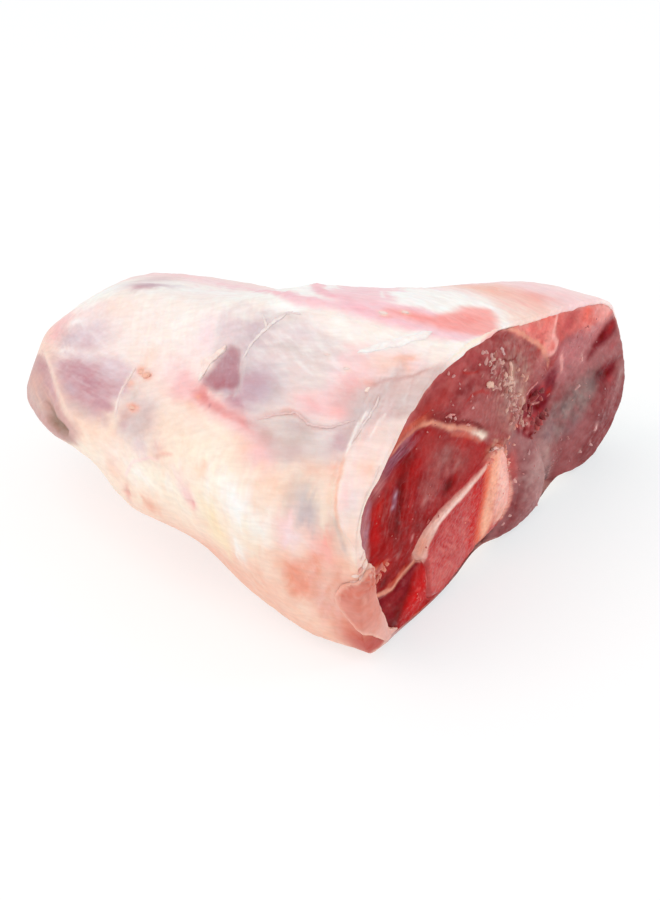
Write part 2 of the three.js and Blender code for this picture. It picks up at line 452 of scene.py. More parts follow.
# soft washes of colour on the skin
skinWashes = [
    # the shank's end
    dab("peach", 0.75, 6, 128, 12, 26, 0, 1.4),
    dab("pinkFlush", 0.85, 14, 114, 7, 12, -20),
    dab("pinkFlush", 0.95, 14, 126, 5.5, 6, -20),
    dab("coral", 0.3, 12, 122, 5, 8, -20),
    dab("peach", 0.7, 12, 138.5, 4, 3.5),
    dab("brownPink", 0.6, 6, 147, 5, 8),
    dab("milk", 0.85, 30, 109, 12, 5, -8, 1.2),
    dab("palePink", 0.5, 32, 117, 10, 4, 5),
    dab("lavender", 1, 31, 130, 13, 8.5, 18, 1.3),
    dab("dustyPink", 0.7, 19, 131, 4, 7, -22),
    dab("white", 0.7, 23, 122.4, 4, 2.4, 10),
    dab("palePurple", 0.7, 23, 133, 4.4, 4),
    dab("mauve", 0.35, 32, 135, 6, 3, 12),
    dab("white", 0.55, 24, 139.6, 3.6, 1.6, 15),
    dab("white", 0.5, 35, 140.4, 4, 1.3, 8),
    dab("peachCream", 0.45, 40, 116, 7, 5),
    dab("mauve", 0.95, 43, 97, 6, 9, 6, 1.2),
    dab("deepMauve", 0.5, 45, 99, 3.4, 6),
    dab("palePurple", 0.5, 50, 90, 5, 9),
    area("endBrown", 0.95, 2.6, [(4, 143), (12, 143), (18, 149), (25, 156), (32, 161), (43, 166),
        (40, 172), (26, 176), (12, 174), (3, 168)]),
    dab("deepMauve", 0.55, 13, 149, 5, 4.6, 30),
    dab("mauve", 0.8, 22, 155.4, 6, 2.6, 32),
    dab("beigeGrey", 0.6, 16, 165, 8, 4),
    stroke("dustyPink", 0.45, 4.5, 3.5, [(12, 139), (16, 144), (21, 150.5), (27, 156), (35, 161),
        (40, 164)]),
    dab("warmPeach", 0.35, 10, 160, 4, 5),
    # painted shadow in the crevice under the shank's end
    dab("creviceShadow", 0.95, 30, 167.6, 7.5, 2.6, 26, 1.2),
    dab("peachCream", 0.9, 51, 166.5, 10, 5, 4, 1.2),
    dab("warmPeach", 0.4, 46, 163, 7, 2.6, 10),
    dab("peach", 0.6, 58, 163, 3.6, 2.6),
    area("mauve", 0.85, 3.4, [(17, 144), (23, 141), (31, 140.4), (40, 141.6), (48, 141), (55, 144),
        (59, 149.5), (56.5, 155), (51, 160), (43, 160.5), (35, 158), (27, 153), (20, 147.5)]),
    dab("lavender", 0.8, 50, 144, 8, 4.6, 12, 1.2),
    dab("lavender", 0.4, 40, 141, 9, 2.6, 4),
    dab("deepMauve", 0.8, 33, 147.4, 7, 3, 10),
    dab("deepMauve", 0.7, 41, 150.4, 6, 2.8, 10),
    dab("deepMauve", 0.45, 50, 155, 6, 2.6, 4),
    dab("palePurple", 0.5, 33, 154, 4, 2, 20),
    dab("lavender", 0.5, 43, 142, 8, 1.4, 3),
    dab("beigeGrey", 0.5, 42, 159.6, 7, 1.8, 4),
    # below the knuckle
    dab("peach", 0.5, 62, 138, 4, 4),
    dab("silver", 0.95, 66, 154.5, 9, 7.5, 10, 1.3),
    dab("beigeGrey", 0.4, 63, 150, 3, 2.5),
    dab("slate", 0.65, 67, 160.6, 8, 3.6, 8),
    dab("mauve", 0.5, 61, 160, 2.6, 2.4),
    dab("lavender", 0.7, 72, 164, 4.4, 2.8),
    dab("dustyPink", 0.35, 76, 157, 4, 3),
    dab("palePink", 0.6, 76, 140, 9, 6, -8),
    dab("pinkFlush", 0.5, 83, 143, 7, 4.4),
    dab("rosePink", 0.8, 81, 124, 6, 7),
    dab("milk", 0.6, 68, 120, 10, 8),
    dab("palePink", 0.3, 70, 104, 14, 6),
    # the silverskin over the thick of the leg
    area("silver", 0.9, 3.5, [(86, 117), (96, 114), (106, 114.5), (118, 115.5), (130, 117), (142, 122),
        (146, 130), (142, 138), (130, 141), (118, 147), (108, 148), (101, 145), (97, 138), (88, 131)]),
    dab("lavender", 0.75, 92, 122, 6, 6),
    dab("palePurple", 0.7, 103.5, 122.5, 7, 6, 0, 1.2),
    dab("lavender", 0.55, 120, 118.5, 6, 5, 20),
    dab("palePurple", 0.8, 112.5, 137, 10, 7.5, 4, 1.2),
    dab("slate", 0.6, 105, 135, 3.6, 4),
    dab("slate", 0.6, 121, 137, 5, 3, 10),
    dab("mauve", 0.5, 109.5, 137, 2.6, 3),
    dab("mauve", 0.9, 108, 143, 5.5, 3, 8, 1.2),
    dab("deepMauve", 0.5, 107, 143.6, 3.4, 1.8, 8),
    dab("mauve", 0.5, 113.5, 138.5, 5, 4),
    dab("beigeGrey", 0.4, 120, 124.2, 7, 1.1, 5),
    dab("milk", 0.7, 131, 114.5, 10, 2.4, 3, 1.2),
    dab("milk", 0.7, 142, 115.4, 6, 3),
    dab("white", 0.9, 110, 111.8, 7, 1.8, 0, 1.2),
    area("palePink", 0.8, 4, [(138, 121), (150, 118.5), (162, 118), (166, 122), (158, 127), (154, 134),
        (156, 139), (146, 140), (134, 140), (138, 133)]),
    dab("peach", 0.65, 154, 122.4, 7, 3, 6, 1.1),
    dab("pinkFlush", 0.7, 147, 128, 6.5, 4, -20),
    dab("warmPeach", 0.55, 161, 122.4, 4, 1.8),
    dab("dustyPink", 0.85, 147, 134, 6.5, 3.8, -10),
    dab("redFlush", 0.22, 148, 131, 4, 4),
    dab("pinkFlush", 0.85, 138, 137.6, 9, 3, 3),
    dab("coral", 0.4, 148.5, 138.4, 4.4, 2),
    # the red fringe below the hollow
    area("pinkFlush", 0.9, 2.6, [(80, 139), (88, 141), (98, 143), (108, 145), (118, 146), (126, 149),
        (134, 153), (128, 155), (116, 151), (100, 149), (86, 148), (78, 146)]),
    dab("redFlush", 0.6, 93, 144.8, 6, 2, 6, 1.2),
    dab("redFlush", 0.6, 103, 146.6, 9, 1.5, 5, 1.2),
    dab("redFlush", 0.7, 116, 148, 4.4, 1.5, 8),
    dab("peach", 0.7, 90, 149, 6, 1.6, 4),
    # under the silverskin's lower edge
    area("slate", 0.6, 3.2, [(116, 147), (124, 145), (134, 142.6), (143, 142.8), (151, 141), (157, 138),
        (158, 145), (154, 150), (146, 151.5), (138, 154), (130, 153.5), (122, 150)]),
    dab("mist", 0.6, 147, 144, 4.4, 2.2),
    dab("brownPink", 0.5, 126, 149.4, 5, 2.2, 12),
    dab("dustyPink", 0.5, 136, 144.6, 3, 1.3),
    dab("mauve", 0.65, 153.6, 144, 3.2, 3.6),
    dab("mauve", 0.35, 138, 150, 4, 2.4),
    dab("pinkFlush", 0.8, 126, 154.5, 8, 3.4, 12),
    dab("peach", 0.6, 137, 158.5, 6, 3.4),
    dab("warmPeach", 0.55, 149, 152, 6, 2, 4),
    dab("orangeSpot", 0.5, 157, 150.4, 3, 2.2),
    dab("beigeGrey", 0.5, 149, 157, 7, 4),
    dab("slate", 1, 152.4, 162.4, 6.5, 5.4, 15, 1.3),
    dab("beigeGrey", 0.5, 145, 163, 3.4, 6, 0, 1.1),
    dab("palePurple", 0.4, 156, 166.6, 3, 2.4),
    dab("pinkFlush", 0.6, 144, 171, 8, 7),
    dab("beigeGrey", 0.75, 163, 166, 3, 6, 0, 1.1),
    dab("slate", 0.5, 167, 169, 2, 4),
    dab("slate", 0.5, 137, 144, 7, 4),
    dab("dustyGrey", 0.8, 70, 156.4, 6, 4, 8),
    dab("milk", 0.6, 94, 117, 6, 3),
    # the grey patch at the cut
    area("dustyGrey", 0.8, 3, [(153, 128.6), (158, 126.2), (162, 124.8), (166, 123), (170, 119),
        (177, 118), (177, 142), (163, 142), (157, 141), (152, 138), (151, 133)]),
    dab("slate", 0.75, 157, 135, 5.4, 5, -20, 1.1),
    streaks("silver", 0.6, 1.6, 163, 131, 10, 12, 70),
    streaks("brownPink", 0.45, 1.6, 163, 131, 10, 12, 70),
    dab("dustyPink", 0.6, 166, 137, 3, 4),
    dab("brownPink", 0.5, 155, 128.8, 2.6, 1.2),
    # the creamy belly and the orange flush below it
    dab("cream", 0.8, 107, 158, 14, 4.6, 0, 1.1),
    dab("peach", 0.6, 119, 153, 4, 2),
    dab("peach", 0.6, 87, 166.5, 3, 4),
    dab("dustyPink", 0.6, 81.5, 163, 3.6, 3.4),
    dab("milk", 0.85, 72, 173, 5.4, 4),
    dab("peach", 0.95, 60, 174, 5, 5),
    dab("redFlush", 0.55, 66.5, 182, 2, 3.6),
    dab("warmPeach", 0.9, 77.5, 185, 4.6, 3.2),
    dab("milk", 0.6, 87.4, 172, 1.6, 6),
    dab("white", 0.65, 108.5, 167, 2.4, 6),
    dab("milk", 0.6, 116, 163, 5, 4),
    dab("palePink", 0.6, 95.5, 170, 4, 5),
    dab("peach", 0.6, 105.5, 163.6, 2.6, 2),
    dab("yellowFat", 0.85, 111, 181, 6.5, 11, -10, 1.1),
    dab("peachCream", 0.6, 99, 184, 6, 6),
    dab("cream", 0.6, 91, 178, 6, 9),
    dab("white", 1, 123.5, 168, 6.4, 7, 15, 1.2),
    dab("milk", 0.75, 133, 173, 5, 7, 0, 1.1),
    dab("milk", 0.75, 121, 187, 3, 8, 4),
    dab("peach", 0.5, 131, 165, 5, 5),
    area("warmPeach", 0.9, 6, [(128, 190), (136, 182), (143, 176), (152, 172), (160, 165), (168, 168),
        (177, 176), (177, 214), (118, 214), (112, 204), (118, 196)]),
    dab("palePink", 0.95, 145.6, 171, 4.4, 5.4, 15, 1.2),
    dab("rosePink", 0.6, 146, 170.4, 2.6, 3, 15),
    dab("coral", 0.6, 160.4, 171, 4.4, 6, -10),
    dab("pinkFlush", 0.6, 155, 171, 4, 4),
    dab("peachCream", 0.7, 134, 189, 6, 5),
    area("salmon", 0.8, 4, [(152, 185), (158, 180), (166, 178), (177, 180), (177, 209), (168, 210),
        (160, 203), (154, 195)]),
    area("orangeFlush", 0.85, 3, [(143, 194), (142, 186), (146, 180.5), (152, 177), (156, 172),
        (158, 175), (156, 181), (152, 186), (149, 193)]),
    dab("orangeFlush", 0.7, 147, 187, 4, 4.4, -12, 1.2),
    dab("salmon", 0.35, 147.5, 188, 2.4, 3, -12),
    dab("peachCream", 0.55, 146, 202, 9, 5),
    streaks("peachCream", 0.5, 2.6, 132, 200, 24, 9, 50),
    streaks("pinkFlush", 0.4, 2.2, 160, 190, 12, 14, 110),
    streaks("peachCream", 0.45, 2, 152, 190, 16, 14, 122),
    dab("orangeFlush", 0.85, 147, 187, 4.6, 5.6, -12, 1.2),
    dab("salmon", 0.5, 147.6, 188, 2.6, 3.6, -12),
    # the top
    dab("white", 1, 112, 98, 9, 8, 30, 1.3),
    area("rosyPink", 0.9, 3, [(113, 82), (123, 76), (134, 84), (137, 98), (140, 104), (126, 106),
        (118, 100)]),
    dab("arcPink", 0.35, 126, 96, 3, 8),
    dab("white", 1, 144, 93, 7, 5.6, 0, 1.6),
    stroke("arcPink", 0.85, 2.2, 2.6, [(78, 74), (81, 82), (84, 88), (89, 95), (96, 101.5), (104, 106),
        (114, 108.2), (124, 108)]),
    stroke("arcPink", 0.85, 1.9, 2.2, [(100, 74), (102, 81), (105, 87), (109, 93), (115, 99.5),
        (122, 104), (132, 106.6)]),
    area("rosyPink", 0.95, 1.4, [(108, 108.6), (120, 106.6), (132, 104), (146, 100.6), (156, 99),
        (171, 100), (171, 108), (166, 110.4), (156, 110.8), (144, 110.8), (130, 110.2), (114, 110)]),
    dab("arcPink", 0.6, 134, 107.6, 5, 2),
    dab("arcPink", 0.5, 148, 109.4, 9, 1.6, 2),
    dab("rosyCream", 0.6, 142, 113.4, 6, 1.4, 4),
    dab("peach", 0.75, 148, 60, 9, 8, -30),
    mottle("orangeSpot", 0.7, 2.4, 150, 56, 8, 8, 0),
    dab("orangeFlush", 0.4, 154, 60, 2, 2.6),
    dab("pinkFlush", 0.85, 163, 50, 8, 8),
    dab("coral", 0.6, 165, 52, 3.4, 5),
    mottle("coral", 0.35, 2.4, 166, 70, 6, 9, 0),
    area("orangeSpot", 0.5, 4, [(122, 56), (140, 60), (156, 70), (176, 86), (176, 60), (160, 50),
        (140, 44)]),
    streaks("coral", 0.4, 2.2, 156, 62, 20, 12, 24),
    dab("white", 0.5, 150, 78, 16, 9, -10),
    dab("rosyPink", 0.5, 132, 74, 18, 8, -10),
    streaks("rosePink", 0.7, 3.2, 64, 50, 16, 40, 78),
    streaks("arcPink", 0.45, 3, 64, 52, 13, 32, 76),
    dab("mauve", 0.5, 38, 72, 7, 22, 6, 1.2),
    dab("pinkFlush", 0.5, 78, 50, 5, 10),
    # the far side and the back
    streaks("palePurple", 0.4, 4, 108, 24, 34, 22, 10),
    area("silver", 0.6, 6, [(84, 8), (100, 2), (122, 4), (140, 14), (150, 26), (138, 36), (112, 40),
        (92, 34), (80, 22)]),
    dab("palePurple", 0.4, 104, 18, 14, 7, 10, 1.2),
    streaks("arcPink", 0.5, 3, 104, 60, 30, 24, 60),
    dab("pinkFlush", 0.6, 96, 72, 12, 10, 20),
    area("mauve", 0.4, 6, [(52, 338), (64, 334), (76, 338), (80, 348), (70, 354), (56, 352)]),
    dab("redFlush", 0.5, 84, 356, 14, 3, 10),
    stroke("pinkFlush", 0.6, 3, 1.4, [(84, 350), (96, 346), (104, 344), (112, 344.6), (120, 345)]),
    dab("slate", 0.7, 122, 336, 22, 7, 5, 1.3),
    dab("mauve", 0.6, 30, 5, 16, 18),
    dab("endBrown", 0.8, 12, 0, 11, 26, 0, 1.4),
    dab("endBrown", 0.7, 8, 230, 12, 60, 0, 1.4),
    streaks("warmPeach", 0.4, 3, 90, 255, 60, 40, 5),
    streaks("milk", 0.5, 3, 100, 300, 60, 30, 5),
]

# smaller marks on the skin, with edges of their own
skinMarks = [
    stroke("peachCream", 0.55, 1.6, 1.3, [(12, 138), (16.5, 145.4), (21.5, 151.6), (27, 156.6),
        (33, 160.6), (40, 164)]),
    streaks("lavender", 0.4, 1.1, 42, 150, 15, 8, 9),
    streaks("deepMauve", 0.35, 1.1, 42, 150, 15, 8, 9),
    streaks("peach", 0.3, 1.2, 18, 160, 14, 7, 30),
    # painted shadow along the crease under the end
    stroke("creviceShadow", 0.4, 1, 0.8, [(22, 162.6), (29, 166), (37, 170)]),
    stroke("rosyCream", 0.8, 0.6, 0.5, [(58, 141.8), (57.3, 146), (56.2, 150), (56.6, 154),
        (57.6, 158.5)]),
    dab("orangeSpot", 0.9, 60.5, 142.6, 1.9, 1.6, 0, 1.2),
    dab("orangeSpot", 0.95, 64.6, 143.6, 2.4, 1.7, 10, 1.2),
    dab("warmPeach", 0.7, 58.8, 147.6, 1.4, 1.6),
    dab("orangeSpot", 0.95, 64, 154.4, 3.2, 1.5, 0, 1.2),
    dab("orangeFlush", 0.4, 64.4, 154, 1.8, 0.8),
    dab("brownPink", 0.6, 60.6, 157.2, 2, 1.6),
    # the dark hollow with a torn edge
    area("window", 0.85, 1.6, [(94.5, 127.6), (99, 128), (101.8, 132.4), (104.6, 137), (104, 140),
        (99, 141.6), (93, 141.8), (89.2, 140), (90.4, 136.6), (92.4, 132.6)]),
    dab("windowRed", 0.8, 97, 139.4, 5, 1.9, 3),
    dab("mauve", 0.6, 98.6, 135, 2, 2.6, 20),
    dab("windowRed", 0.35, 98, 130.6, 2, 2),
    streaks("palePurple", 0.45, 0.8, 98, 134, 6, 7, 66),
    streaks("window", 0.5, 0.8, 98, 134, 6, 7, 66),
    dab("palePurple", 0.6, 101, 141.2, 2, 0.9),
    dab("orangeSpot", 0.8, 91, 145.2, 1.2, 0.8),
    dab("window", 0.6, 97.6, 146.6, 0.7, 0.6),
    dab("redFlush", 0.6, 93.4, 144.6, 2.6, 1, 6),
    # folds and creases over the thick of the leg
    stroke("dustyPink", 0.5, 0.8, 0.7, [(117, 146), (122, 144.2), (127, 142.4), (131, 141), (135, 141.4),
        (140, 142.6), (146, 142.2), (151, 141)]),
    stroke("salmon", 0.25, 1, 0.8, [(127, 142), (130.5, 140.8), (134, 141)]),
    stroke("brownPink", 0.65, 0.7, 0.6, [(154.4, 128.6), (158, 126.6), (162, 125), (166, 123),
        (169.6, 120)]),
    streaks("mist", 0.5, 0.9, 163, 133, 8, 10, 74),
    streaks("brownPink", 0.3, 0.8, 163, 133, 8, 10, 74),
    dab("orangeFlush", 0.4, 152, 128, 2.6, 1),
    dab("peachCream", 0.7, 142, 126, 2, 0.8, 8),
    dab("peachCream", 0.5, 133, 123.4, 1.6, 0.5, 8),
    stroke("beigeGrey", 0.45, 0.8, 0.8, [(112, 115.6), (116.5, 115.4)]),
    stroke("salmon", 0.4, 0.8, 0.6, [(81, 165), (86, 163), (90, 162)]),
    stroke("palePink", 0.6, 0.7, 0.5, [(66, 176), (70, 170), (76, 166.6), (82, 165.4)]),
    # the pale lip at the cut
    area("lipPink", 0.85, 1.4, [(158, 141), (161, 139), (167, 136), (177, 137), (177, 172), (170.5, 169),
        (166.6, 163), (163.4, 157), (160.6, 150.5), (158.6, 146)]),
    dab("dustyPink", 0.5, 161.6, 140.6, 2, 2.4),
    dab("peach", 0.85, 167.6, 148, 3, 2.2, 0, 1.1),
    dab("orangeSpot", 0.35, 168.4, 147.6, 1.4, 1),
    dab("lavender", 0.45, 168.4, 155, 1.6, 2.6),
    dab("palePink", 0.5, 165.4, 155, 1.8, 4),
    dab("peach", 0.7, 169.5, 164, 2.4, 3.4),
    streaks("palePink", 0.5, 0.8, 166, 152, 6, 14, 66),
    stroke("milk", 0.8, 0.7, 0.5, [(158.2, 135), (157, 139), (157.4, 143), (158.6, 146.4)]),
    stroke("milk", 0.5, 0.5, 0.4, [(165, 134.5), (164, 138.5), (163.6, 142)]),
    stroke("warmPeach", 0.8, 0.8, 0.9, [(157.8, 146.6), (160, 151), (162.2, 156), (164.4, 160.6),
        (167, 165.4)]),
    stroke("beigeGrey", 0.7, 0.9, 0.8, [(163.6, 160.4), (166, 165), (168.6, 169.6)]),
    dab("coral", 0.6, 100.2, 175.6, 1.7, 2.4, -12),
    dab("pinkFlush", 0.7, 98.4, 173.4, 3, 3.4, -20),
    dab("redFlush", 0.3, 100, 175.6, 1, 1.2),
    stroke("milk", 0.7, 0.8, 0.6, [(120.6, 180), (120, 185), (118.6, 190), (119.4, 193)]),
    dab("rimRed", 0.9, 171.4, 201.6, 6.4, 6, 10, 1.4),
    dab("orangeFlush", 0.5, 167.6, 200, 5, 5, 10, 1.2),
    dab("rimRed", 0.7, 171.5, 207, 7, 6, 20),
    dab("rosyCream", 0.35, 147, 174, 6, 6),
    dab("rosyCream", 0.3, 20, 146.6, 4, 2, 40),
    # wisps on the silverskin
    streaks("white", 0.45, 1.5, 124, 122, 27, 12, 22),
    streaks("slate", 0.4, 1.7, 118, 124, 22, 9, -16),
    streaks("white", 0.25, 1.6, 32, 134, 20, 12, 30),
    dab("palePurple", 0.7, 113, 138, 6, 4),
    dab("mauve", 0.3, 112, 137, 3.4, 2.6),
    dab("beigeGrey", 0.5, 138, 147, 6, 3.4),
    dab("salmon", 0.25, 166, 50, 8, 6),
    dab("warmPeach", 0.4, 140, 200, 7, 6),
    dab("rosyCream", 0.6, 60, 170, 9, 6),
    dab("palePurple", 0.35, 42, 96, 6, 4),
    # beads on the top with their painted shadows, and a white fold with a painted glint along it
    area("coral", 0.9, 2.4, [(157, 87), (162, 81), (168, 86), (173, 95), (172, 102.6), (164, 106),
        (157, 106.6), (148, 107), (142, 106), (149, 103.4), (155, 101), (157, 95)]),
    dab("hotCoral", 0.5, 163, 95, 3.4, 5),
    stroke("milk", 0.6, 0.6, 0.6, [(131, 91), (135, 97), (137, 100)]),
    dab("white", 0.5, 120, 106.4, 5, 0.9, 3),
    # each orange dab beside a bead is its painted shadow
    dab("orangeFlush", 0.45, 144, 108.4, 2.4, 0.7, -10),
    dab("peachCream", 0.95, 142.4, 107.4, 1.7, 0.8, 5, 1.3),
    dab("orangeFlush", 0.45, 149.6, 105.4, 2.2, 0.6, -8),
    dab("peachCream", 0.95, 148, 104.6, 1.4, 0.8, 0, 1.3),
    # the white membrane fold, with a painted highlight along it
    stroke("white", 0.95, 1.3, 0.8, [(158, 110.6), (155.6, 113), (152.6, 115.6), (148.6, 118.4),
        (144, 120.6)]),
    dab("white", 0.7, 154.6, 113, 3, 1.2, -40),
    stroke("warmPeach", 0.55, 0.9, 1.2, [(155, 120.2), (159, 119), (162.6, 118)]),
    dab("orangeSpot", 0.35, 161.6, 118.8, 2.4, 0.7, -10),
    # raw flesh at the edge where there is no fat
    area("rawEdge", 0.95, 1.2, [(170.6, 222), (176, 221), (176, 352), (172, 346), (170.4, 330),
        (170.4, 300), (169.8, 262)]),
]

# relief of the skin, in millimetres
skinRelief = {
    "lumpSize": 16.0,
    "lumpHeight": 0.7,
    "grainSize": 3.4,
    "grainHeight": 0.2,
    "fibreSpacing": 2.6,
    "fibreHeight": 0.22,
    "wander": 0.9,  # mm that the patches' edges wander
    "wanderSize": 6.0,
    # raised sheets: thickness, edge softness, how far in the rise fades, outline
    "sheets": [
        (0.7, 0.7, 16, [(118, 147), (126, 143.5), (132, 141.4), (139, 142.4), (150, 141.4), (157, 138),
            (160, 122), (150, 114), (135, 112), (118, 113), (108, 115), (103, 120), (104, 130),
            (108, 140)]),
        (1.0, 1.1, 9, [(158, 136), (160, 141), (159, 146), (161, 150), (164, 158), (169, 165), (178, 170),
            (182, 150), (178, 134), (166, 133)]),
        (-0.9, 0.7, 30, [(94.5, 127.6), (99, 128), (101.8, 132.4), (104.6, 137), (106, 141), (101, 143),
            (93, 141.8), (89.2, 140), (90.4, 136.6), (92.4, 132.6)]),
        (0.9, 0.8, 8, [(104, 110), (114, 110), (130, 110.2), (144, 110.8), (156, 110.8), (166, 110.4),
            (176, 108), (176, 80), (140, 78), (108, 88)]),
        (0.6, 0.6, 6, [(154.4, 128.6), (158, 126.6), (162, 125), (166, 123), (170, 120), (176, 124),
            (176, 140), (160, 136), (155, 133)]),
    ],
    # ridges (or, below zero, creases): height, width, points
    "ridges": [
        (1.1, 2.2, [(11, 138), (16.5, 144.6), (23, 151), (31, 157.6), (42, 162.6)]),
        (-2.2, 2.2, [(20, 162), (28, 166), (37, 170)]),
        (-0.8, 2.2, [(61, 139), (61, 148), (62, 158)]),
        (0.5, 1.3, [(61, 142.6), (66, 143.8)]),
        (0.5, 1.2, [(61, 154.3), (67, 154.3)]),
        (0.6, 1.0, [(158.2, 135), (157, 139), (157.4, 143), (158.6, 146.4)]),
        (-0.7, 0.9, [(156.6, 147), (158.8, 151.4), (161, 156.4), (163.4, 161), (166, 166)]),
        (0.5, 1.0, [(165, 134.5), (164, 138.5), (163.6, 142)]),
        (-0.9, 1.2, [(164.6, 158), (167, 163), (170, 168)]),
        (-0.9, 1.6, [(66, 181), (67, 184)]),
        (-0.7, 1.8, [(99, 174), (100, 177)]),
        (0.5, 1.4, [(78, 74), (81, 82), (84, 88), (89, 95), (96, 101.5), (104, 106), (114, 108.2),
            (124, 108)]),
        (0.4, 1.2, [(105, 87), (109, 93), (115, 99.5), (122, 104), (132, 106.6)]),
        (-1.0, 3.0, [(138, 178), (143, 186), (146, 196)]),
        (-0.8, 4.0, [(104, 160), (108, 170), (104, 186)]),
        (-0.8, 4.0, [(86, 165), (90, 178), (86, 190)]),
        (-0.7, 3.0, [(128, 160), (134, 170), (130, 184)]),
        (0.6, 1.2, [(66, 176), (70, 170), (76, 166.6), (82, 165.4)]),
        (-0.7, 1.6, [(117, 147), (122, 145.4), (127, 143.6), (131, 142.2), (135, 142.6), (140, 143.8),
            (151, 142)]),
    ],
}


def turnedAway(degrees, centre):
    return (degrees - centre + 180) % 360 - 180


def skinPlaces(along, degrees, points):
    # the skin laid out flat: millimetres along and degrees round, with wandering edges
    relief = skinRelief
    places = np.stack([along * legForm["length"], degrees], 1)
    return places + relief["wander"] * wandering(points, relief["wanderSize"], 11, 23)


def fibreFlow(places, spacing, seed):
    # noise drawn out along the skin's fibres, and which way they run
    total = np.zeros(len(places))
    power = np.full(len(places), 1e-3)
    direction = np.zeros((len(places), 2))
    for i, (x, y, halfX, halfY, tilt) in enumerate(skinFibres["flows"]):
        weight = spotCover(places, x, y, halfX, halfY, 0, 1, around=True)
        near = weight > 0.03
        local = np.stack([places[near, 0] - x, turnedAway(places[near, 1], y)], 1)
        total[near] += weight[near] * streakNoise(local, spacing, tilt, seed + i, 8.0)
        power[near] += weight[near] ** 2
        way = np.array([math.cos(math.radians(tilt)), math.sin(math.radians(tilt))])
        direction[near] += weight[near, None] * way
    return total / np.sqrt(power), direction / np.sqrt(power)[:, None].clip(0.3)


def paintSkin(along, degrees, points):
    fibres = skinFibres
    stops = np.array([stop for stop, name in skinBase], float)
    shades = np.array([linear(tissue[name]) for stop, name in skinBase])
    drift = degrees + 4 * fractalNoise(points, 18, 2, 31)
    colour = np.stack([np.interp(drift % 360, stops, shades[:, i]) for i in range(3)], 1)
    places = skinPlaces(along, degrees, points)
    strands, direction = fibreFlow(places, fibres["spacing"], 600)
    bundles = fibreFlow(places, fibres["bundle"], 650)[0]
    frayed = places + direction * (fibres["fray"][0] * strands + fibres["fray"][1] * bundles)[:, None]
    colour = layColours(colour, frayed, skinWashes, tissue, around=True)
    colour = layColours(colour, places, skinMarks, tissue, around=True)
    fine = fibreFlow(places, fibres["spacing"] * 0.8, 700)[0]
    cloud = fractalNoise(points, fibres["cloudSize"], 3, 83)
    shade = fibres["shade"] * fine + fibres["cloud"] * cloud
    return colour * np.exp(-shade[:, None] * np.array([0.25, 1.0, 0.9]))


def skinHeight(along, degrees, points):
    relief = skinRelief
    places = skinPlaces(along, degrees, points)
    height = relief["lumpHeight"] * fractalNoise(points, relief["lumpSize"], 3, 41)
    height += relief["grainHeight"] * fractalNoise(points, relief["grainSize"], 2, 57)
    laidOut = np.stack([places[:, 0], (places[:, 1] - 270) % 360], 1)
    height += relief["fibreHeight"] * streakNoise(laidOut, relief["fibreSpacing"], 15, 63)
    for thickness, softness, fade, outline in relief["sheets"]:
        depth = depthInside(places, smoothLine(outline, 5, closed=True))
        height += thickness * smoothStep(-softness, softness, depth) * np.exp(-np.maximum(depth, 0) / fade)
    for ridge, width, line in relief["ridges"]:
        away, share = distanceToLine(places, smoothLine(line))
        height += ridge * bell(away, width) * (0.2 + 0.8 * taper(share))
    return height * smoothStep(0, 0.06, along)


# the skin's body: finely meshed where it shows most, and hollowed at the cut to hold the muscle
skinBody = {
    "rings": 236,
    # degrees round: from, to, spacing
    "sides": [(38, 98, 0.95), (98, 204, 0.44), (204, 224, 0.9), (224, 398, 3.0)],
    # how thick the skin is at the cut and how far its edge stands out there, by degrees round
    "wall": [(0, 1.0), (12, 1.6), (20, 2.2), (30, 3.2), (40, 3.6), (50, 2.9), (60, 2.4), (70, 2.4),
        (80, 2.5), (88, 1.8), (92, 1.4), (97, 2.8), (104, 3.8), (112, 4.0), (118, 3.4), (124, 2.0),
        (129, 0.9), (134, 0.6), (140, 1.6), (147, 2.6), (153, 1.6), (158, 0.8), (164, 2.6), (170, 5.2),
        (180, 6.5), (190, 8.0), (200, 10.0), (206, 11.0), (211, 10.0), (216, 5.6), (221, 3.2), (230, 2.4),
        (240, 1.8), (255, 1.0), (345, 0.8), (360, 1.0)],
    "edge": [(0, -1.8), (15, -1.2), (30, -0.4), (60, -0.2), (90, -0.4), (104, 0.5), (112, 0.8),
        (126, 0.0), (140, 1.0), (150, 1.6), (166, 1.6), (190, 1.0), (212, 0.6), (221, -0.6), (230, -0.8),
        (245, -0.8), (325, -1.0), (345, -1.6), (360, -1.8)],
    "recess": 6.0,  # how far the skin reaches in behind the muscle
    # the rim: share of the wall crossed, how far the surface has dropped from the edge
    "rim": [(0.06, 0), (0.12, 0), (0.2, 0), (0.28, 0), (0.38, 0), (0.5, 0), (0.65, 0), (0.8, 0),
        (0.92, 0.1), (1.0, 0.4), (1.06, 3), (1.1, 6.0)],
    "swell": 0.15,  # how far the fat swells out between its edge and the muscle, as a share of the wall
}


def roundTable(table, degrees):
    stops, values = zip(*table)
    return np.interp(degrees % 360, stops, values)


def rimSwell(inward, degrees):
    # how far the fat round the cut stands out, a few millimetres in from its edge
    wall = roundTable(skinBody["wall"], degrees)
    share = inward / wall
    return skinBody["swell"] * wall * smoothStep(0, 0.35, share) * smoothStep(1.1, 0.6, share)


def skinPoint3(along, degrees):
    # the skin with its relief, and its edge drawn in or out at the cut
    points = skinPoints(along, degrees)
    height = skinHeight(along, degrees % 360, points)
    moved = points + outwards(along, degrees) * height[:, None]
    moved[:, 2] = np.maximum(moved[:, 2], 0)
    moved[:, 0] += roundTable(skinBody["edge"], degrees) * smoothStep(0.955, 1, along)
    return points, moved


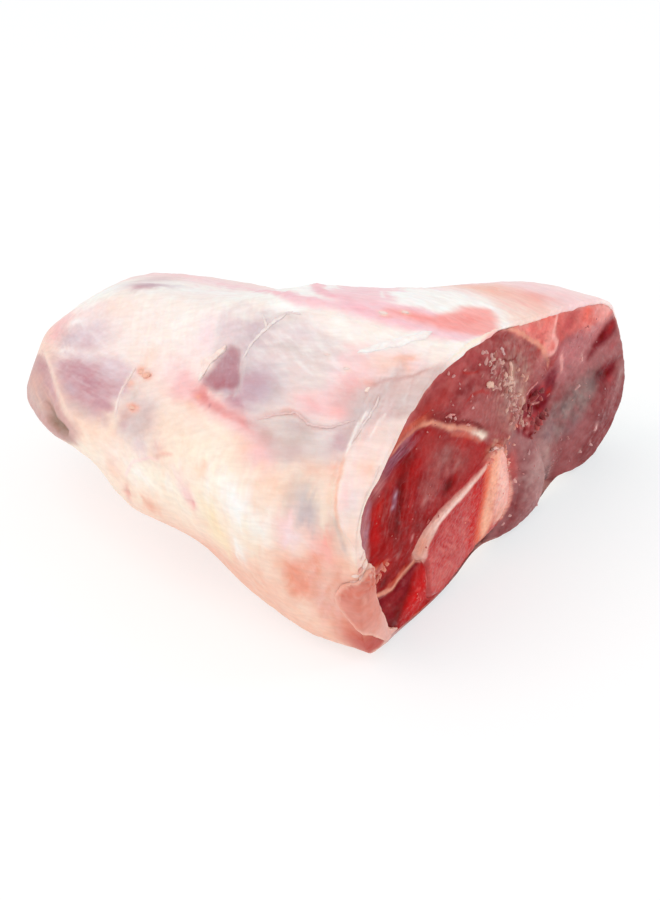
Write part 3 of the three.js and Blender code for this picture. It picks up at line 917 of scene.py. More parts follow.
# layers on the fat that shows round the cut, placed by y and z
rimLayers = [
    area("warmPeach", 0.8, 2, [(-90, 52), (-74, 44), (-70, 30), (-58, 4), (-70, -4), (-90, 10),
        (-96, 40)]),
    area("endBrown", 0.9, 1.6, [(-60, 6), (-50, 2), (-38, -3), (-36, -12), (-70, -12), (-66, 2)]),
    dab("peach", 0.8, -78, 47, 5, 4, -30),
    dab("pinkFlush", 0.6, -85, 50, 4, 5),
    dab("rimRed", 1, -71, 11, 12, 9, 30, 1.6),
    dab("rimRed", 0.9, -65, 8.4, 4.4, 3, 20, 1.2),
    dab("orangeFlush", 0.7, -77, 20, 5, 6, 30),
    dab("peach", 0.6, -66, 2.5, 6, 2.6, 20),
    dab("rimRed", 0.5, -68, 33, 4, 5, 35),
    mottle("rosyCream", 0.3, 2, -80, 46, 7, 8, 0),
    streaks("peachCream", 0.4, 1.6, -82, 56, 5, 16, -75),
    area("cream", 0.9, 1.5, [(-88, 66), (-76, 92), (-60, 108), (-20, 104), (40, 94), (60, 90), (40, 112),
        (-20, 116), (-70, 112), (-96, 80)]),
]


def makeSkin():
    body = skinBody
    round_ = np.concatenate([np.arange(start, end, step) for start, end, step in body["sides"]])
    around = len(round_)
    steps = (np.arange(1, body["rings"] + 1) / body["rings"]) ** 1.1
    along = np.repeat(steps, around)
    degrees = np.tile(round_, body["rings"])
    plain, points = skinPoint3(along, degrees)
    colours = paintSkin(along, degrees % 360, plain)
    rim = points[-around:]
    inward = cutHeart - rim[:, 1:]
    inward /= np.linalg.norm(inward, axis=1, keepdims=True)
    wall = roundTable(body["wall"], round_)[:, None]
    edge = roundTable(body["edge"], round_)
    rimColour = colours[-around:]
    extra = []
    extraColour = []
    for share, drop in body["rim"]:
        ring = rim.copy()
        ring[:, 1:] += inward * wall * share
        upright = np.column_stack([0 * edge, ring[:, 1:]])
        lumps = 0.35 * fractalNoise(upright, 4.0, 2, 79) * min(share * 4, 1)
        swell = rimSwell(wall[:, 0] * share, round_)
        ring[:, 0] = cutX(ring[:, 1], ring[:, 2]) + edge + swell - drop + lumps
        extra.append(ring)
        extraColour.append(layColours(rimColour.copy(), ring[:, 1:], rimLayers, tissue))
    for share in (0.7, 0.35):
        ring = extra[len(body["rim"]) - 1].copy()
        ring[:, 1:] = cutHeart + (ring[:, 1:] - cutHeart) * share
        ring[:, 0] = cutX(ring[:, 1], ring[:, 2]) - body["recess"]
        extra.append(ring)
        extraColour.append(rimColour)
    tip = np.array([[legForm["tipX"], legForm["middleY"][0], legForm["middleZ"][0]]])
    heart = np.array([[cutX(*cutHeart) - body["recess"], *cutHeart]])
    faces = cappedRings(body["rings"] + len(extra), around)
    allColours = np.vstack([colours, *extraColour, colours[:1], rimColour[:1]])
    return newPiece("legSkin", np.vstack([points, *extra, tip, heart]), faces, allColours)


print("shapes worked out")


def newFinish(name):
    material = bpy.data.materials.new(name)
    material.use_nodes = True
    nodes = material.node_tree.nodes
    links = material.node_tree.links
    nodes.clear()
    out = nodes.new("ShaderNodeOutputMaterial")
    shader = nodes.new("ShaderNodeBsdfPrincipled")
    links.new(shader.outputs["BSDF"], out.inputs["Surface"])
    return material, nodes, links, shader


def addNode(nodes, kind, settings=None, **sockets):
    node = nodes.new(kind)
    for key, value in (settings or {}).items():
        setattr(node, key, value)
    for key, value in sockets.items():
        node.inputs[key].default_value = value
    return node


def setInputs(node, values):
    for name, value in values.items():
        node.inputs[name].default_value = value


def noiseNode(nodes, links, scale, detail=3.0, stretch=None, roughness=0.55):
    # noise over the piece's own coordinates, stretched along its fibres if asked
    place = nodes.new("ShaderNodeTexCoord")
    noise = addNode(nodes, "ShaderNodeTexNoise", Scale=scale, Detail=detail, Roughness=roughness)
    if stretch is None:
        links.new(place.outputs["Object"], noise.inputs["Vector"])
    else:
        mapping = addNode(nodes, "ShaderNodeMapping", {"vector_type": "TEXTURE"})
        setInputs(mapping, {"Scale": stretch[0], "Rotation": [math.radians(turn) for turn in stretch[1]]})
        links.new(place.outputs["Object"], mapping.inputs["Vector"])
        links.new(mapping.outputs["Vector"], noise.inputs["Vector"])
    return noise.outputs["Fac"]


def mixColour(nodes, links, blend, factor, first, second):
    mix = nodes.new("ShaderNodeMix")
    mix.data_type = "RGBA"
    mix.blend_type = blend
    for name, value in (("Factor", factor), ("A", first), ("B", second)):
        socket = mix.inputs[name]
        if hasattr(value, "links"):
            links.new(value, socket)
        elif isinstance(value, (int, float)):
            socket.default_value = value
        else:
            socket.default_value = (*value, 1)
    return mix.outputs["Result"]


def spread(nodes, links, value, low, high, toLow=0.0, toHigh=1.0):
    ramp = addNode(nodes, "ShaderNodeMapRange", {"interpolation_type": "SMOOTHSTEP"})
    setInputs(ramp, {"From Min": low, "From Max": high, "To Min": toLow, "To Max": toHigh})
    links.new(value, ramp.inputs["Value"])
    return ramp.outputs["Result"]


def dampSurface(finish, look, colour, gloss, relief):
    # what fat, muscle and bone share: uneven gloss, fine relief and light that soaks in
    material, nodes, links, shader = finish
    links.new(colour, shader.inputs["Base Color"])
    links.new(spread(nodes, links, gloss, 0.3, 0.7, *look["roughness"]), shader.inputs["Roughness"])
    bump = addNode(nodes, "ShaderNodeBump", Strength=look["bump"], Distance=0.0004)
    links.new(relief, bump.inputs["Height"])
    links.new(bump.outputs["Normal"], shader.inputs["Normal"])
    setInputs(shader, look["sockets"])
    return material


fatLook = {
    "mottleSize": 220,
    "mottleStrength": 0.05,
    "cast": (255, 252, 250),
    "roughness": (0.34, 0.55),
    "bump": 0.25,
    # the weight is the share of light that soaks in, and the scale how deep, in metres
    "sockets": {
        "Subsurface Weight": 0.25, "Subsurface Radius": (1.0, 0.55, 0.4), "Subsurface Scale": 0.0022,
        "Specular IOR Level": 0.3, "Coat Weight": 0.08, "Coat Roughness": 0.25, "IOR": 1.4,
    },
}


def fatFinish():
    look = fatLook
    finish = newFinish("fatAndSkin")
    nodes, links = finish[1:3]
    tint = addNode(nodes, "ShaderNodeAttribute", {"attribute_name": "tint"}).outputs["Color"]
    cloud = noiseNode(nodes, links, look["mottleSize"], 4)
    fibres = noiseNode(nodes, links, 520, 4, ((4.5, 1, 1), (0, -12, 0)))
    cast = linear(look["cast"])
    warm = mixColour(nodes, links, "MULTIPLY", 1.0, tint, cast)
    cool = mixColour(nodes, links, "MIX", look["mottleStrength"], tint, cast)
    base = mixColour(nodes, links, "MIX", spread(nodes, links, cloud, 0.38, 0.62), warm, cool)
    shade = spread(nodes, links, fibres, 0.3, 0.7, 0.945, 1.03)
    toned = mixColour(nodes, links, "MULTIPLY", 1.0, base, shade)
    return dampSurface(finish, look, toned, cloud, noiseNode(nodes, links, 900, 3))


# relief of the sawn end, in millimetres; muscles bulge and the gaps between them sink
cutRelief = {
    # y, z, spreads, height
    "lobes": [
        (-22, 86, 26, 16, 1.8),
        (-58, 60, 18, 22, 2.6),
        (-50, 14, 11, 8, 2.2),
        (20, 14, 14, 13, 3.6),
        (64, 24, 14, 16, 2.8),
        (42, 72, 17, 9, 1.6),
        (21, 51, 7, 8, -3.5),
        (-5, 5, 6, 3.4, -4),
        (39, 4, 5, 8, -3.5),
        (62, 59, 7, 3.5, -2.2),
        (70, 37, 7, 3, -2.0),
        (-31, 51, 5, 4, -0.8),
        (-81, 58, 4, 16, -0.8),
    ],
    # seams (or, above zero, raised bands): height, width, points
    "seams": [
        (0.5, 1.1, [(-66, 89), (-56, 89.5), (-48, 86.5), (-42, 81.5), (-36, 77), (-30, 72.7), (-24, 68.6),
            (-18, 63.8), (-11, 57.5)]),
        (-1.1, 1.2, [(-56, 91.5), (-47, 89.5), (-39, 83), (-30, 75.5), (-20, 68), (-10, 60)]),
        (0.5, 1.1, [(-6, 100), (4, 91.4), (10, 85.8), (17, 79.3), (24, 72), (30, 66), (35, 58)]),
        (-0.8, 1.2, [(-6, 96.5), (3, 88.5), (16, 76.5), (23, 69), (29, 62.5)]),
        (-0.7, 1.0, [(29, 86), (28.5, 80), (31, 73), (29, 68)]),
        (0.35, 0.9, [(-46, 30), (-52, 30), (-57, 28), (-61, 26), (-65, 27), (-70, 30), (-74, 34)]),
        (-0.8, 1.0, [(-46, 28), (-52, 28), (-60, 24), (-66, 24.5)]),
        (-1.6, 1.8, [(33, -1), (34, 8), (32, 18), (29, 28), (24, 36)]),
        (-0.8, 1.2, [(4, 46), (9, 42), (13, 34), (14, 24), (12, 14)]),
        (-0.7, 0.9, [(-62, 71), (-63, 64), (-61, 57)]),
        (0.5, 0.9, [(-71, 80), (-66, 83), (-60, 84)]),
        (0.4, 0.9, [(-70, 84), (-64, 87), (-57, 86)]),
        (-0.6, 1.2, [(10, 60), (14, 54), (12, 48)]),
        (0.7, 1.2, [(15, 58), (17, 53), (21, 46)]),
    ],
    "paintSlide": (1.70, -1.295),  # how far colour slides over each millimetre of relief
    "fibreHeight": 0.26,
    "fibreSpacing": 1.7,
    "fibreTilt": -44.0,
    "fibreStretch": 2.4,
    "mottleStretch": 2.3,
    "lumpHeight": 0.35,
    "lumpSize": 5.0,
    "edgeRound": 0.5,
    "edgeWidth": 2.2,
    "boneSink": 2.5,
    "wander": 0.8,
    "wanderSize": 4.0,
}

cutTissue = {
    "farMuscle": (150, 86, 86),
    "rosePurple": (172, 112, 112),
    "brownRed": (128, 56, 58),
    "greySheen": (140, 126, 122),
    "greyPale": (168, 148, 142),
    "greyDark": (104, 80, 80),
    "greyViolet": (132, 98, 104),
    "lobePurple": (162, 108, 108),
    "lobePale": (188, 150, 146),
    "lobeRed": (192, 92, 88),
    "topMuscle": (158, 72, 72),
    "topDark": (126, 42, 42),
    "topPale": (190, 116, 112),
    "topPink": (198, 104, 102),
    "topRed": (178, 58, 50),
    "redRose": (172, 66, 64),
    "dustyRose": (186, 114, 116),
    "darkRed": (104, 16, 20),
    "maroon": (122, 38, 44),
    "plum": (136, 58, 66),
    # painted shade for recesses and cracks
    "recessShade": (104, 16, 14),
    "bloodRed": (176, 10, 8),
    "wetRed": (204, 12, 14),
    "fireRed": (186, 40, 30),
    "eyeRed": (148, 26, 26),
    "eyeRose": (178, 70, 66),
    "eyeGrey": (158, 88, 84),
    "eyePale": (188, 124, 118),
    "violet": (150, 95, 110),
    "violetPale": (194, 160, 176),
    "mauveRose": (176, 100, 104),
    "stripePale": (214, 156, 150),
    "salmon": (232, 124, 116),
    "brightSalmon": (240, 112, 96),
    "salmonPale": (236, 158, 148),
    "palePink": (246, 176, 168),
    "roseCrimson": (190, 82, 84),
    "fringeOrange": (222, 116, 90),
    "fringePeach": (230, 150, 124),
    "seamPeach": (234, 160, 136),
    "seamCream": (253, 228, 210),
    "seamPink": (214, 116, 98),
    "creamFleck": (222, 186, 162),
    "greyFleck": (196, 166, 156),
    "pinkFleck": (236, 176, 170),
    # painted shadow under the bone's rim
    "undercutShadow": (84, 32, 28),
    "membrane": (222, 158, 148),
    # painted shadow in the depth of the far hollow
    "hollowShadow": (88, 48, 48),
}

# layers on the cut, placed by y and z in millimetres
cutLayers = [
    # the far muscles
    area("dustyRose", 1, 3, [(24, 60), (34, 72), (60, 66), (72, 58), (60, 52), (46, 52), (34, 54)]),
    area("rosePurple", 0.7, 3.5, [(36, 58), (52, 60), (62, 52), (74, 48), (78, 42), (66, 42), (52, 46),
        (38, 50)]),
    mottle("brownRed", 0.45, 3.4, 44, 54, 14, 8, 0),
    mottle("dustyRose", 0.5, 2.6, 52, 52, 18, 10, 0),
    area("greySheen", 0.68, 4.5, [(28, 36), (34, 42), (42, 44), (52, 45), (62, 42), (62, 34), (56, 27),
        (46, 24), (36, 26), (28, 30)]),
    dab("greyViolet", 0.8, 31, 33, 5, 6, -30, 1.1),
    dab("greyDark", 0.6, 60, 38, 6, 4, -40, 1.1),
    dab("greyDark", 0.5, 37, 39, 5, 2.5, -20),
    dab("greyPale", 0.6, 54, 36, 6, 3, -40),
    mottle("greyPale", 0.6, 2.6, 46, 34, 17, 11, -30),
    mottle("brownRed", 0.65, 4, 46, 33, 20, 13, -30),
    mottle("greyDark", 0.5, 2.4, 46, 36, 18, 12, -30),
    mottle("rosePurple", 0.5, 2, 46, 34, 18, 12, -30),
    dab("brownRed", 0.55, 45, 20, 7, 5, -30),
    dab("greyViolet", 0.5, 50, 25, 8, 3.5, -20),
    dab("rosePurple", 0.6, 55, 21, 6, 4, -30),
    mottle("rosePurple", 0.5, 2.6, 52, 16, 16, 14, 0),
    area("brownRed", 0.6, 4, [(64, 33), (74, 34), (84, 26), (82, 8), (70, 6), (60, 4), (56, 8),
        (64, 16)]),
    mottle("maroon", 0.4, 3.2, 70, 20, 14, 16, 0),
    mottle("rosePurple", 0.5, 2.6, 74, 22, 12, 18, 0),
    dab("lobePale", 0.5, 80, 30, 2.6, 7),
    dab("lobePale", 0.45, 76, 54, 2.6, 6, 20),
    # hollows in the far edge: dark red flesh, darkened towards their depths with painted shade
    area("maroon", 0.9, 2.2, [(71, 63), (66, 61.5), (60, 60), (56, 57), (53, 54), (54, 51.5), (60, 52.5),
        (66, 53), (72, 54)]),
    dab("darkRed", 0.9, 62, 57.5, 2.6, 3, -40, 1.1),
    dab("darkRed", 0.6, 58, 56, 3, 1.6, -30),
    dab("fireRed", 0.35, 67.5, 57.5, 2.6, 3),
    dab("rosePurple", 0.6, 73, 54, 3, 4),
    dab("roseCrimson", 0.4, 71, 48, 3, 2.4),
    area("maroon", 0.85, 2, [(61, 42), (66, 42.5), (72, 41), (75, 38.5), (74, 35), (70, 33), (66, 34.5),
        (62, 38)]),
    dab("hollowShadow", 0.8, 64, 39.5, 3.6, 1.6, -35, 1.1),
    dab("darkRed", 0.75, 69, 36.5, 2.4, 1.6, -30),
    dab("roseCrimson", 0.35, 72, 32, 3, 2, -40),
    # the middle lobe
    area("lobePurple", 1, 1.6, [(2, 47), (9, 48), (14, 44), (20, 39), (24, 38), (29, 32), (34, 23),
        (38, 12), (37, 2), (32, -8), (10, -10), (-10, -2), (-10, 8), (4, 12), (11, 20), (12, 28),
        (8, 38)]),
    dab("lobePale", 0.8, 27, 20, 7, 11),
    dab("lobePale", 0.55, 32, 14, 4, 10, 14),
    mottle("lobePale", 0.55, 2.6, 24, 22, 13, 18, 0),
    mottle("brownRed", 0.5, 2.8, 18, 20, 13, 22, 0),
    dab("brownRed", 0.7, 15, 12, 5, 7, 10),
    dab("brownRed", 0.6, 8, 4, 12, 4, 8),
    dab("lobeRed", 0.85, 9.5, 34, 3, 7, 12, 1.1),
    dab("lobeRed", 0.45, 13, 28, 2.4, 4, 10),
    stroke("lobePale", 0.6, 1.6, 1.4, [(27, 33), (32, 25), (35.5, 15), (36.5, 5)]),
    stroke("greyDark", 0.8, 1.2, 0.9, [(35, 17), (35.4, 10), (34.4, 3), (33, -2)]),
    # the muscle on top
    area("topMuscle", 1, 1.3, [(-68, 90), (-67, 98), (-60, 112), (-10, 112), (-3, 99), (8, 86.5),
        (16, 79), (24, 71.5), (29, 64), (20, 61.5), (13, 57), (8, 50), (3, 46), (-6, 48), (-10, 53),
        (-12, 57), (-20, 64), (-30, 72.5), (-40, 80.5), (-48, 87), (-58, 90)]),
    dab("topPink", 0.4, -32, 99, 9, 7),
    mottle("topDark", 0.5, 3.6, -30, 88, 30, 18, -30),
    mottle("topPale", 0.5, 3, -20, 84, 36, 20, -35),
    dab("topPale", 0.55, -12, 68, 14, 7, -40),
    dab("topPink", 0.75, -61, 97, 5, 8, 30, 1.1),
    streaks("topPale", 0.6, 1.8, -58, 98, 8, 8, 70),
    dab("topPink", 0.55, -46, 103, 12, 2.4, 20),
    dab("topRed", 0.7, -50, 92, 6, 4, -20),
    dab("topRed", 0.4, -40, 92, 6, 8, -30),
    dab("topDark", 0.7, -34, 80.5, 6, 2.6, -38),
    dab("topDark", 0.5, -44, 86, 4, 2, -38),
    # a painted shadow line along the top muscle's edge, just above the seam
    stroke("topDark", 0.85, 0.8, 0.9, [(-41, 84), (-35, 79.5), (-29, 75.4), (-22, 70.8), (-16, 66),
        (-11.5, 61)]),
    stroke("fireRed", 0.5, 0.7, 0.7, [(-27, 81), (-22, 82.5), (-16, 80), (-11, 76)]),
    stroke("fireRed", 0.5, 0.6, 0.6, [(-30, 96), (-24, 92), (-20, 91)]),
    mottle("creamFleck", 0.5, 2.2, 6, 68, 20, 9, -62),
    mottle("greyFleck", 0.45, 1.8, 2, 76, 24, 9, -62),
    mottle("topDark", 0.65, 2, 2, 72, 28, 9, -60),
    dab("greyFleck", 0.4, 4, 66, 6, 9, -30),
    streaks("greyFleck", 0.4, 1.1, 2, 76, 13, 16, 84),
    streaks("topDark", 0.5, 1.4, 1, 74, 15, 18, 84),
    dab("creamFleck", 0.6, 1.5, 77, 1.6, 5.5, 14, 1.1),
    dab("creamFleck", 0.5, 11, 58.5, 1.3, 4.5, 10),
    dab("greyFleck", 0.5, 7, 51, 4, 2.6, -30),
    # painted shade in two cracks in the top muscle
    stroke("recessShade", 0.75, 0.6, 0.5, [(-6, 87), (-2, 84), (3, 82.6)]),
    stroke("recessShade", 0.7, 0.6, 0.5, [(-4.5, 83.5), (-3, 81), (-1.6, 78)]),
    dab("rosePurple", 0.5, 20, 68, 5, 5, -30),
    # the pale muscles under the fat at the top
    area("salmon", 1, 1.4, [(-6, 101), (6, 104), (26, 94), (28, 86), (27, 80), (29.5, 73), (27, 69),
        (24, 72), (17, 79), (10, 85.5)]),
    dab("salmonPale", 0.6, 4, 95, 5, 4, -30),
    dab("brightSalmon", 0.6, 20, 88, 5, 2.4, -15),
    dab("salmonPale", 0.8, 24, 77, 3.6, 7, -20),
    dab("topRed", 0.75, 18.5, 78, 1.6, 2.4, -30, 1.1),
    mottle("salmonPale", 0.5, 2.4, 12, 90, 14, 8, -30),
    mottle("roseCrimson", 0.4, 2.4, 12, 88, 12, 8, -30),
    dab("topRed", 0.6, 29, 65.5, 2, 3, -20),
    area("salmon", 0.9, 2, [(28, 92), (45, 90), (64, 80), (74, 68), (66, 64), (56, 66), (45, 69),
        (36, 72), (31, 72), (28, 80)]),
    dab("roseCrimson", 0.85, 36, 77, 4, 3.4, -50, 1.1),
    dab("roseCrimson", 0.7, 39, 81, 4, 2.2, -20),
    dab("roseCrimson", 0.4, 31, 76, 2.6, 6),
    dab("brightSalmon", 0.95, 48.5, 75, 3, 3.6, -30, 1.2),
    dab("brightSalmon", 0.5, 51, 69, 3, 4, -10),
    dab("palePink", 0.85, 62, 68.5, 5, 5, -35, 1.1),
    dab("palePink", 0.7, 56, 73, 4, 3, -30),
    streaks("palePink", 0.4, 2.4, 54, 68, 14, 8, -44),
    streaks("roseCrimson", 0.45, 2.4, 46, 68, 18, 9, -44),
    dab("dustyRose", 0.6, 43, 63, 12, 4, -10),
    streaks("rosePurple", 0.5, 2.4, 44, 60, 16, 7, -44),
    # the torn hollow in the middle: plum and red flesh, with painted shade in its deepest parts
    area("plum", 0.95, 1.6, [(12, 57), (17, 61.5), (25, 62), (31, 61.5), (33, 57), (30, 50), (26, 44),
        (22, 40), (19, 38.5), (14, 43), (9, 48), (11, 52)]),
    dab("maroon", 0.5, 28, 57, 5, 4, -30),
    dab("redRose", 0.7, 17, 46.5, 5, 3.6, -50, 1.1),
    mottle("palePink", 0.5, 1.7, 17, 46, 6, 5, -50),
    dab("recessShade", 0.95, 16.6, 57, 1.3, 3.6, 6, 1.3),
    dab("darkRed", 0.8, 22.5, 50.5, 3.6, 1.8, -40),
    dab("topRed", 0.6, 11, 49.6, 2.4, 1.4, -40),
    dab("darkRed", 0.9, 15.2, 45, 1.5, 1.2, -40, 1.1),
    dab("darkRed", 0.85, 19.8, 39.8, 2, 1.2, -40, 1.1),
    stroke("palePink", 0.6, 0.4, 0.4, [(18.6, 53.6), (21, 53), (23.4, 51.4)]),
    stroke("creamFleck", 0.55, 0.9, 0.7, [(12.4, 60), (12.6, 56), (13, 52), (12, 49)]),
    # the eye muscle
    area("eyeRed", 1, 1.3, [(-68, 88), (-56, 88.5), (-48, 85.5), (-42, 80.5), (-30, 71.5), (-18, 62.5),
        (-11, 56), (-6, 48), (-14, 44), (-25, 42), (-40, 40), (-46, 37), (-49, 31), (-52, 28.5),
        (-58, 27), (-65, 27.5), (-74, 33), (-80, 42), (-90, 60), (-92, 80), (-78, 86)]),
    area("redRose", 0.7, 4, [(-52, 84), (-42, 79), (-30, 70), (-18, 61), (-10, 54), (-8, 47), (-20, 44),
        (-38, 44), (-44, 54), (-48, 68), (-56, 82)]),
    dab("eyeRose", 0.6, -44, 78, 7, 4, -38),
    dab("fireRed", 0.5, -24, 65, 4, 3, -38),
    dab("eyeGrey", 0.8, -36, 64, 9, 6, -38, 1.1),
    dab("eyeGrey", 0.6, -42, 57, 7, 5, -30),
    dab("eyePale", 0.5, -34.5, 65.5, 4, 2.4, -40),
    dab("eyeGrey", 0.5, -24, 54, 5, 5, -30),
    mottle("eyePale", 0.35, 2.4, -36, 60, 14, 12, -30),
    mottle("maroon", 0.45, 2.8, -40, 58, 18, 16, -30),
    dab("eyePale", 0.6, -27, 56, 1.6, 2.8, -20),
    dab("eyePale", 0.55, -45, 53, 2, 2.6),
    dab("maroon", 0.6, -33, 51.5, 4, 4, -30, 1.1),
    dab("darkRed", 0.95, -30.5, 50, 3.6, 3.2, -30, 1.2),
    dab("bloodRed", 0.4, -27, 52, 2, 2.6),
    dab("bloodRed", 0.95, -71.5, 53, 3.8, 14, 5, 1.4),
    dab("fireRed", 0.75, -72, 67, 4, 5, 0, 1.1),
    dab("wetRed", 0.45, -72, 58, 2.4, 7, 4),
    dab("bloodRed", 0.85, -53, 69, 3.4, 5.4, 0, 1.1),
    dab("bloodRed", 0.5, -55, 52, 3, 9, 4),
    mottle("eyeRose", 0.5, 2, -70, 66, 6, 7, 0),
    streaks("eyeRose", 0.5, 1.6, -58, 52, 12, 20, 84),
    streaks("maroon", 0.6, 1.8, -58, 50, 12, 22, 84),
    streaks("darkRed", 0.7, 2.6, -62, 58, 9, 22, 84),
    streaks("bloodRed", 0.5, 2.2, -62, 54, 14, 20, 84),
    streaks("eyePale", 0.4, 1.1, -62, 60, 10, 18, 84),
    streaks("eyeRose", 0.5, 1.8, -48, 74, 9, 8, 75),
    dab("darkRed", 0.9, -61, 68, 2.6, 7, 4, 1.1),
    dab("darkRed", 0.75, -60.5, 54, 2, 7, 4, 1.1),
    dab("darkRed", 0.5, -57, 78, 5, 3, -30),
    dab("violet", 0.85, -63.2, 65, 1.5, 4.2, 6, 1.2),
    dab("violetPale", 0.8, -62.8, 66.6, 0.8, 1.2),
    dab("violetPale", 0.7, -64, 62.6, 0.9, 1),
    dab("violet", 0.85, -64.5, 84.5, 8, 3.4, 20, 1.2),
    dab("mauveRose", 0.7, -60, 87, 4, 1.8, 10),
    streaks("violetPale", 0.7, 1.5, -62, 84, 8, 4, 10),
    streaks("darkRed", 0.85, 1.5, -61, 82.5, 7, 4, 10),
    dab("violet", 0.6, -69, 80, 4, 3, 30),
    dab("mauveRose", 0.75, -73, 77, 4, 4, 30),
    streaks("stripePale", 0.55, 1.6, -73, 77, 5, 5, 20),
    dab("eyeRose", 0.55, -66, 75, 4, 3, 20),
    area("mauveRose", 0.9, 1.6, [(-78, 76), (-77, 66), (-76.5, 56), (-75, 47), (-74, 42), (-80, 42),
        (-88, 54), (-90, 70), (-84, 80)]),
    streaks("stripePale", 0.75, 1.6, -82, 56, 5, 18, 84),
    streaks("violetPale", 0.8, 1.3, -80, 60, 4, 16, 84),
    streaks("maroon", 0.35, 1.6, -79, 58, 3, 16, 84),
    dab("stripePale", 0.6, -77, 48, 2, 6),
    dab("stripePale", 0.7, -79.5, 78, 1.2, 3.4, -14),
    # the corner where the eye, the fat and the low muscle meet
    dab("fireRed", 0.7, -66, 40, 4, 3.6, -20),
    stroke("seamPink", 0.5, 1.2, 0.9, [(-73, 39.5), (-69, 40.6), (-65.5, 41), (-63, 40)]),
    dab("fringePeach", 0.6, -70, 40, 3, 2, -30),
    dab("darkRed", 0.7, -64.5, 32, 3.4, 1.8, 20, 1.1),
    dab("eyePale", 0.5, -57.5, 38, 1.4, 1.6),
    dab("pinkFleck", 0.45, -50, 41, 0.9, 1.6),
    # the low muscle
    area("maroon", 1, 1.2, [(-46, 29), (-40, 26), (-38, 20), (-36, 12), (-33, 4), (-36, -6), (-62, -6),
        (-66, 8), (-76, 30), (-68, 26.5), (-61, 24.5), (-54, 27)]),
    dab("redRose", 0.5, -60, 18, 8, 6),
    mottle("redRose", 0.5, 2.6, -58, 20, 10, 8, 0),
    dab("darkRed", 0.4, -54, 13, 4, 5, 20),
    area("bloodRed", 0.95, 3, [(-46, 24), (-40, 24), (-37, 16), (-35, 6), (-38, -4), (-54, -4), (-54, 5),
        (-49, 14)]),
    dab("wetRed", 1, -44, 9.4, 6, 7, 20, 1.4),
    dab("wetRed", 0.6, -41, 18, 2.4, 3),
    mottle("salmon", 0.5, 1.5, -42.4, 13.6, 3, 1.6, -10),
    dab("eyeRose", 0.5, -44, 24, 5, 2.4, -10),
    dab("fringeOrange", 0.5, -46, 1.5, 9, 1.6, 4),
    stroke("palePink", 0.5, 1.4, 1.6, [(-38.6, 24), (-37, 15), (-35, 6)]),
    # fat and fascia between the muscles
    stroke("fringeOrange", 0.6, 1.6, 1.8, [(-70, 86), (-66, 89.4), (-60, 91.2), (-54, 90.6), (-48, 88)]),
    stroke("fringePeach", 0.6, 0.8, 0.9, [(-68, 85.6), (-63, 88), (-57, 88.6), (-50, 87.4), (-45, 84.6)]),
    mottle("topRed", 0.5, 1.8, -60, 92, 9, 3, 10),
    stroke("seamPeach", 0.8, 0.9, 0.9, [(-52, 88.4), (-46, 85.6), (-41, 81.6), (-36, 77.6), (-31, 73.6)]),
    stroke("seamPink", 0.6, 1, 1, [(-34, 74), (-27, 69), (-20, 64), (-13, 57)]),
    stroke("seamPeach", 0.8, 0.8, 1, [(-37, 78.6), (-31, 74.6), (-26, 71), (-20, 66.6)]),
    stroke("seamPeach", 0.7, 0.7, 1.1, [(-25, 70.2), (-20, 66.6), (-15, 62.4)]),
    stroke("seamCream", 0.98, 0.9, 1.4, [(-16, 63.2), (-13.6, 60.8), (-11.6, 58)]),
    stroke("seamPeach", 0.75, 0.8, 0.9, [(-7, 101), (4, 91.6), (10, 86), (17, 79.5), (23, 73)]),
    stroke("seamPeach", 0.5, 1.1, 0.7, [(20.6, 75), (24, 70), (26, 65)]),
    stroke("palePink", 0.85, 0.9, 1.1, [(28.5, 89), (26.6, 82), (26.4, 77.6), (29.2, 73), (27.8, 69.6),
        (24, 71.6)]),
    stroke("palePink", 0.6, 1.2, 0.8, [(33.6, 66), (35, 61), (35.6, 57)]),
    stroke("seamPeach", 0.85, 1.4, 0.8, [(-44, 30), (-48, 28.7), (-51.6, 28), (-54.2, 27.7),
        (-56.7, 26.7), (-59.2, 25.4), (-62.9, 26.5), (-67, 28), (-70, 29.5), (-74, 33)]),
    stroke("fringeOrange", 0.45, 1.4, 1, [(-52, 30), (-56, 29), (-59, 27.6), (-63, 28.4)]),
    dab("seamPeach", 0.8, -45.5, 32, 3.2, 2.6, 0, 1.1),
    dab("seamCream", 0.75, -13.4, 60.6, 4.4, 1.5, -40, 1.2),
    dab("seamCream", 0.6, -18, 64.4, 3.6, 1, -38, 1.1),
    dab("fringePeach", 0.75, -3.5, 48, 4.5, 2.6, -25),
    mottle("creamFleck", 0.6, 1.8, -2, 49.5, 6, 4, -30),
    # painted shadow in the undercut below the bone's rim
    dab("undercutShadow", 0.98, -10, 7.4, 10, 2.6, 14, 1.4),
    dab("undercutShadow", 0.7, 1, 11.6, 4, 2, 30, 1.1),
    dab("pinkFleck", 0.7, 12.3, 24.5, 1.2, 1, 0, 1.2),
    dab("pinkFleck", 0.6, 48.6, 55.5, 1.1, 1.9),
    dab("greyFleck", 0.7, 48.4, 43, 0.9, 1.6),
    dab("pinkFleck", 0.75, 66.4, 14.2, 1.2, 1.9, 0, 1.1),
    dab("greyFleck", 0.55, 57.4, 9.2, 0.9, 0.9),
    dab("pinkFleck", 0.5, 64, 8.6, 0.7, 1.2),
    dab("greyFleck", 0.5, 33.4, 24, 1, 2),
    # lumps in the torn hollow, with painted shade between them
    dab("roseCrimson", 0.7, 24, 57.6, 2.4, 1.6, -40, 1.1),
    dab("topRed", 0.7, 28.6, 53, 2, 1.6, -40, 1.1),
    dab("roseCrimson", 0.7, 20.6, 47, 2.2, 1.6, -40, 1.1),
    dab("redRose", 0.6, 24.6, 47, 1.8, 1.4, -40, 1.1),
    dab("recessShade", 0.6, 26.6, 49.6, 1.8, 1, -40, 1.1),
    dab("topPale", 0.4, 22, 61, 3, 1.4, -20),
]

sawnFace = {
    "columns": 330,
    "rows": 246,
    "thickness": 5.6,
    "inset": 0.8,  # share of the skin's wall that the muscle leaves clear
    "unevenness": 0.2,
    "backShare": 0.94,
}


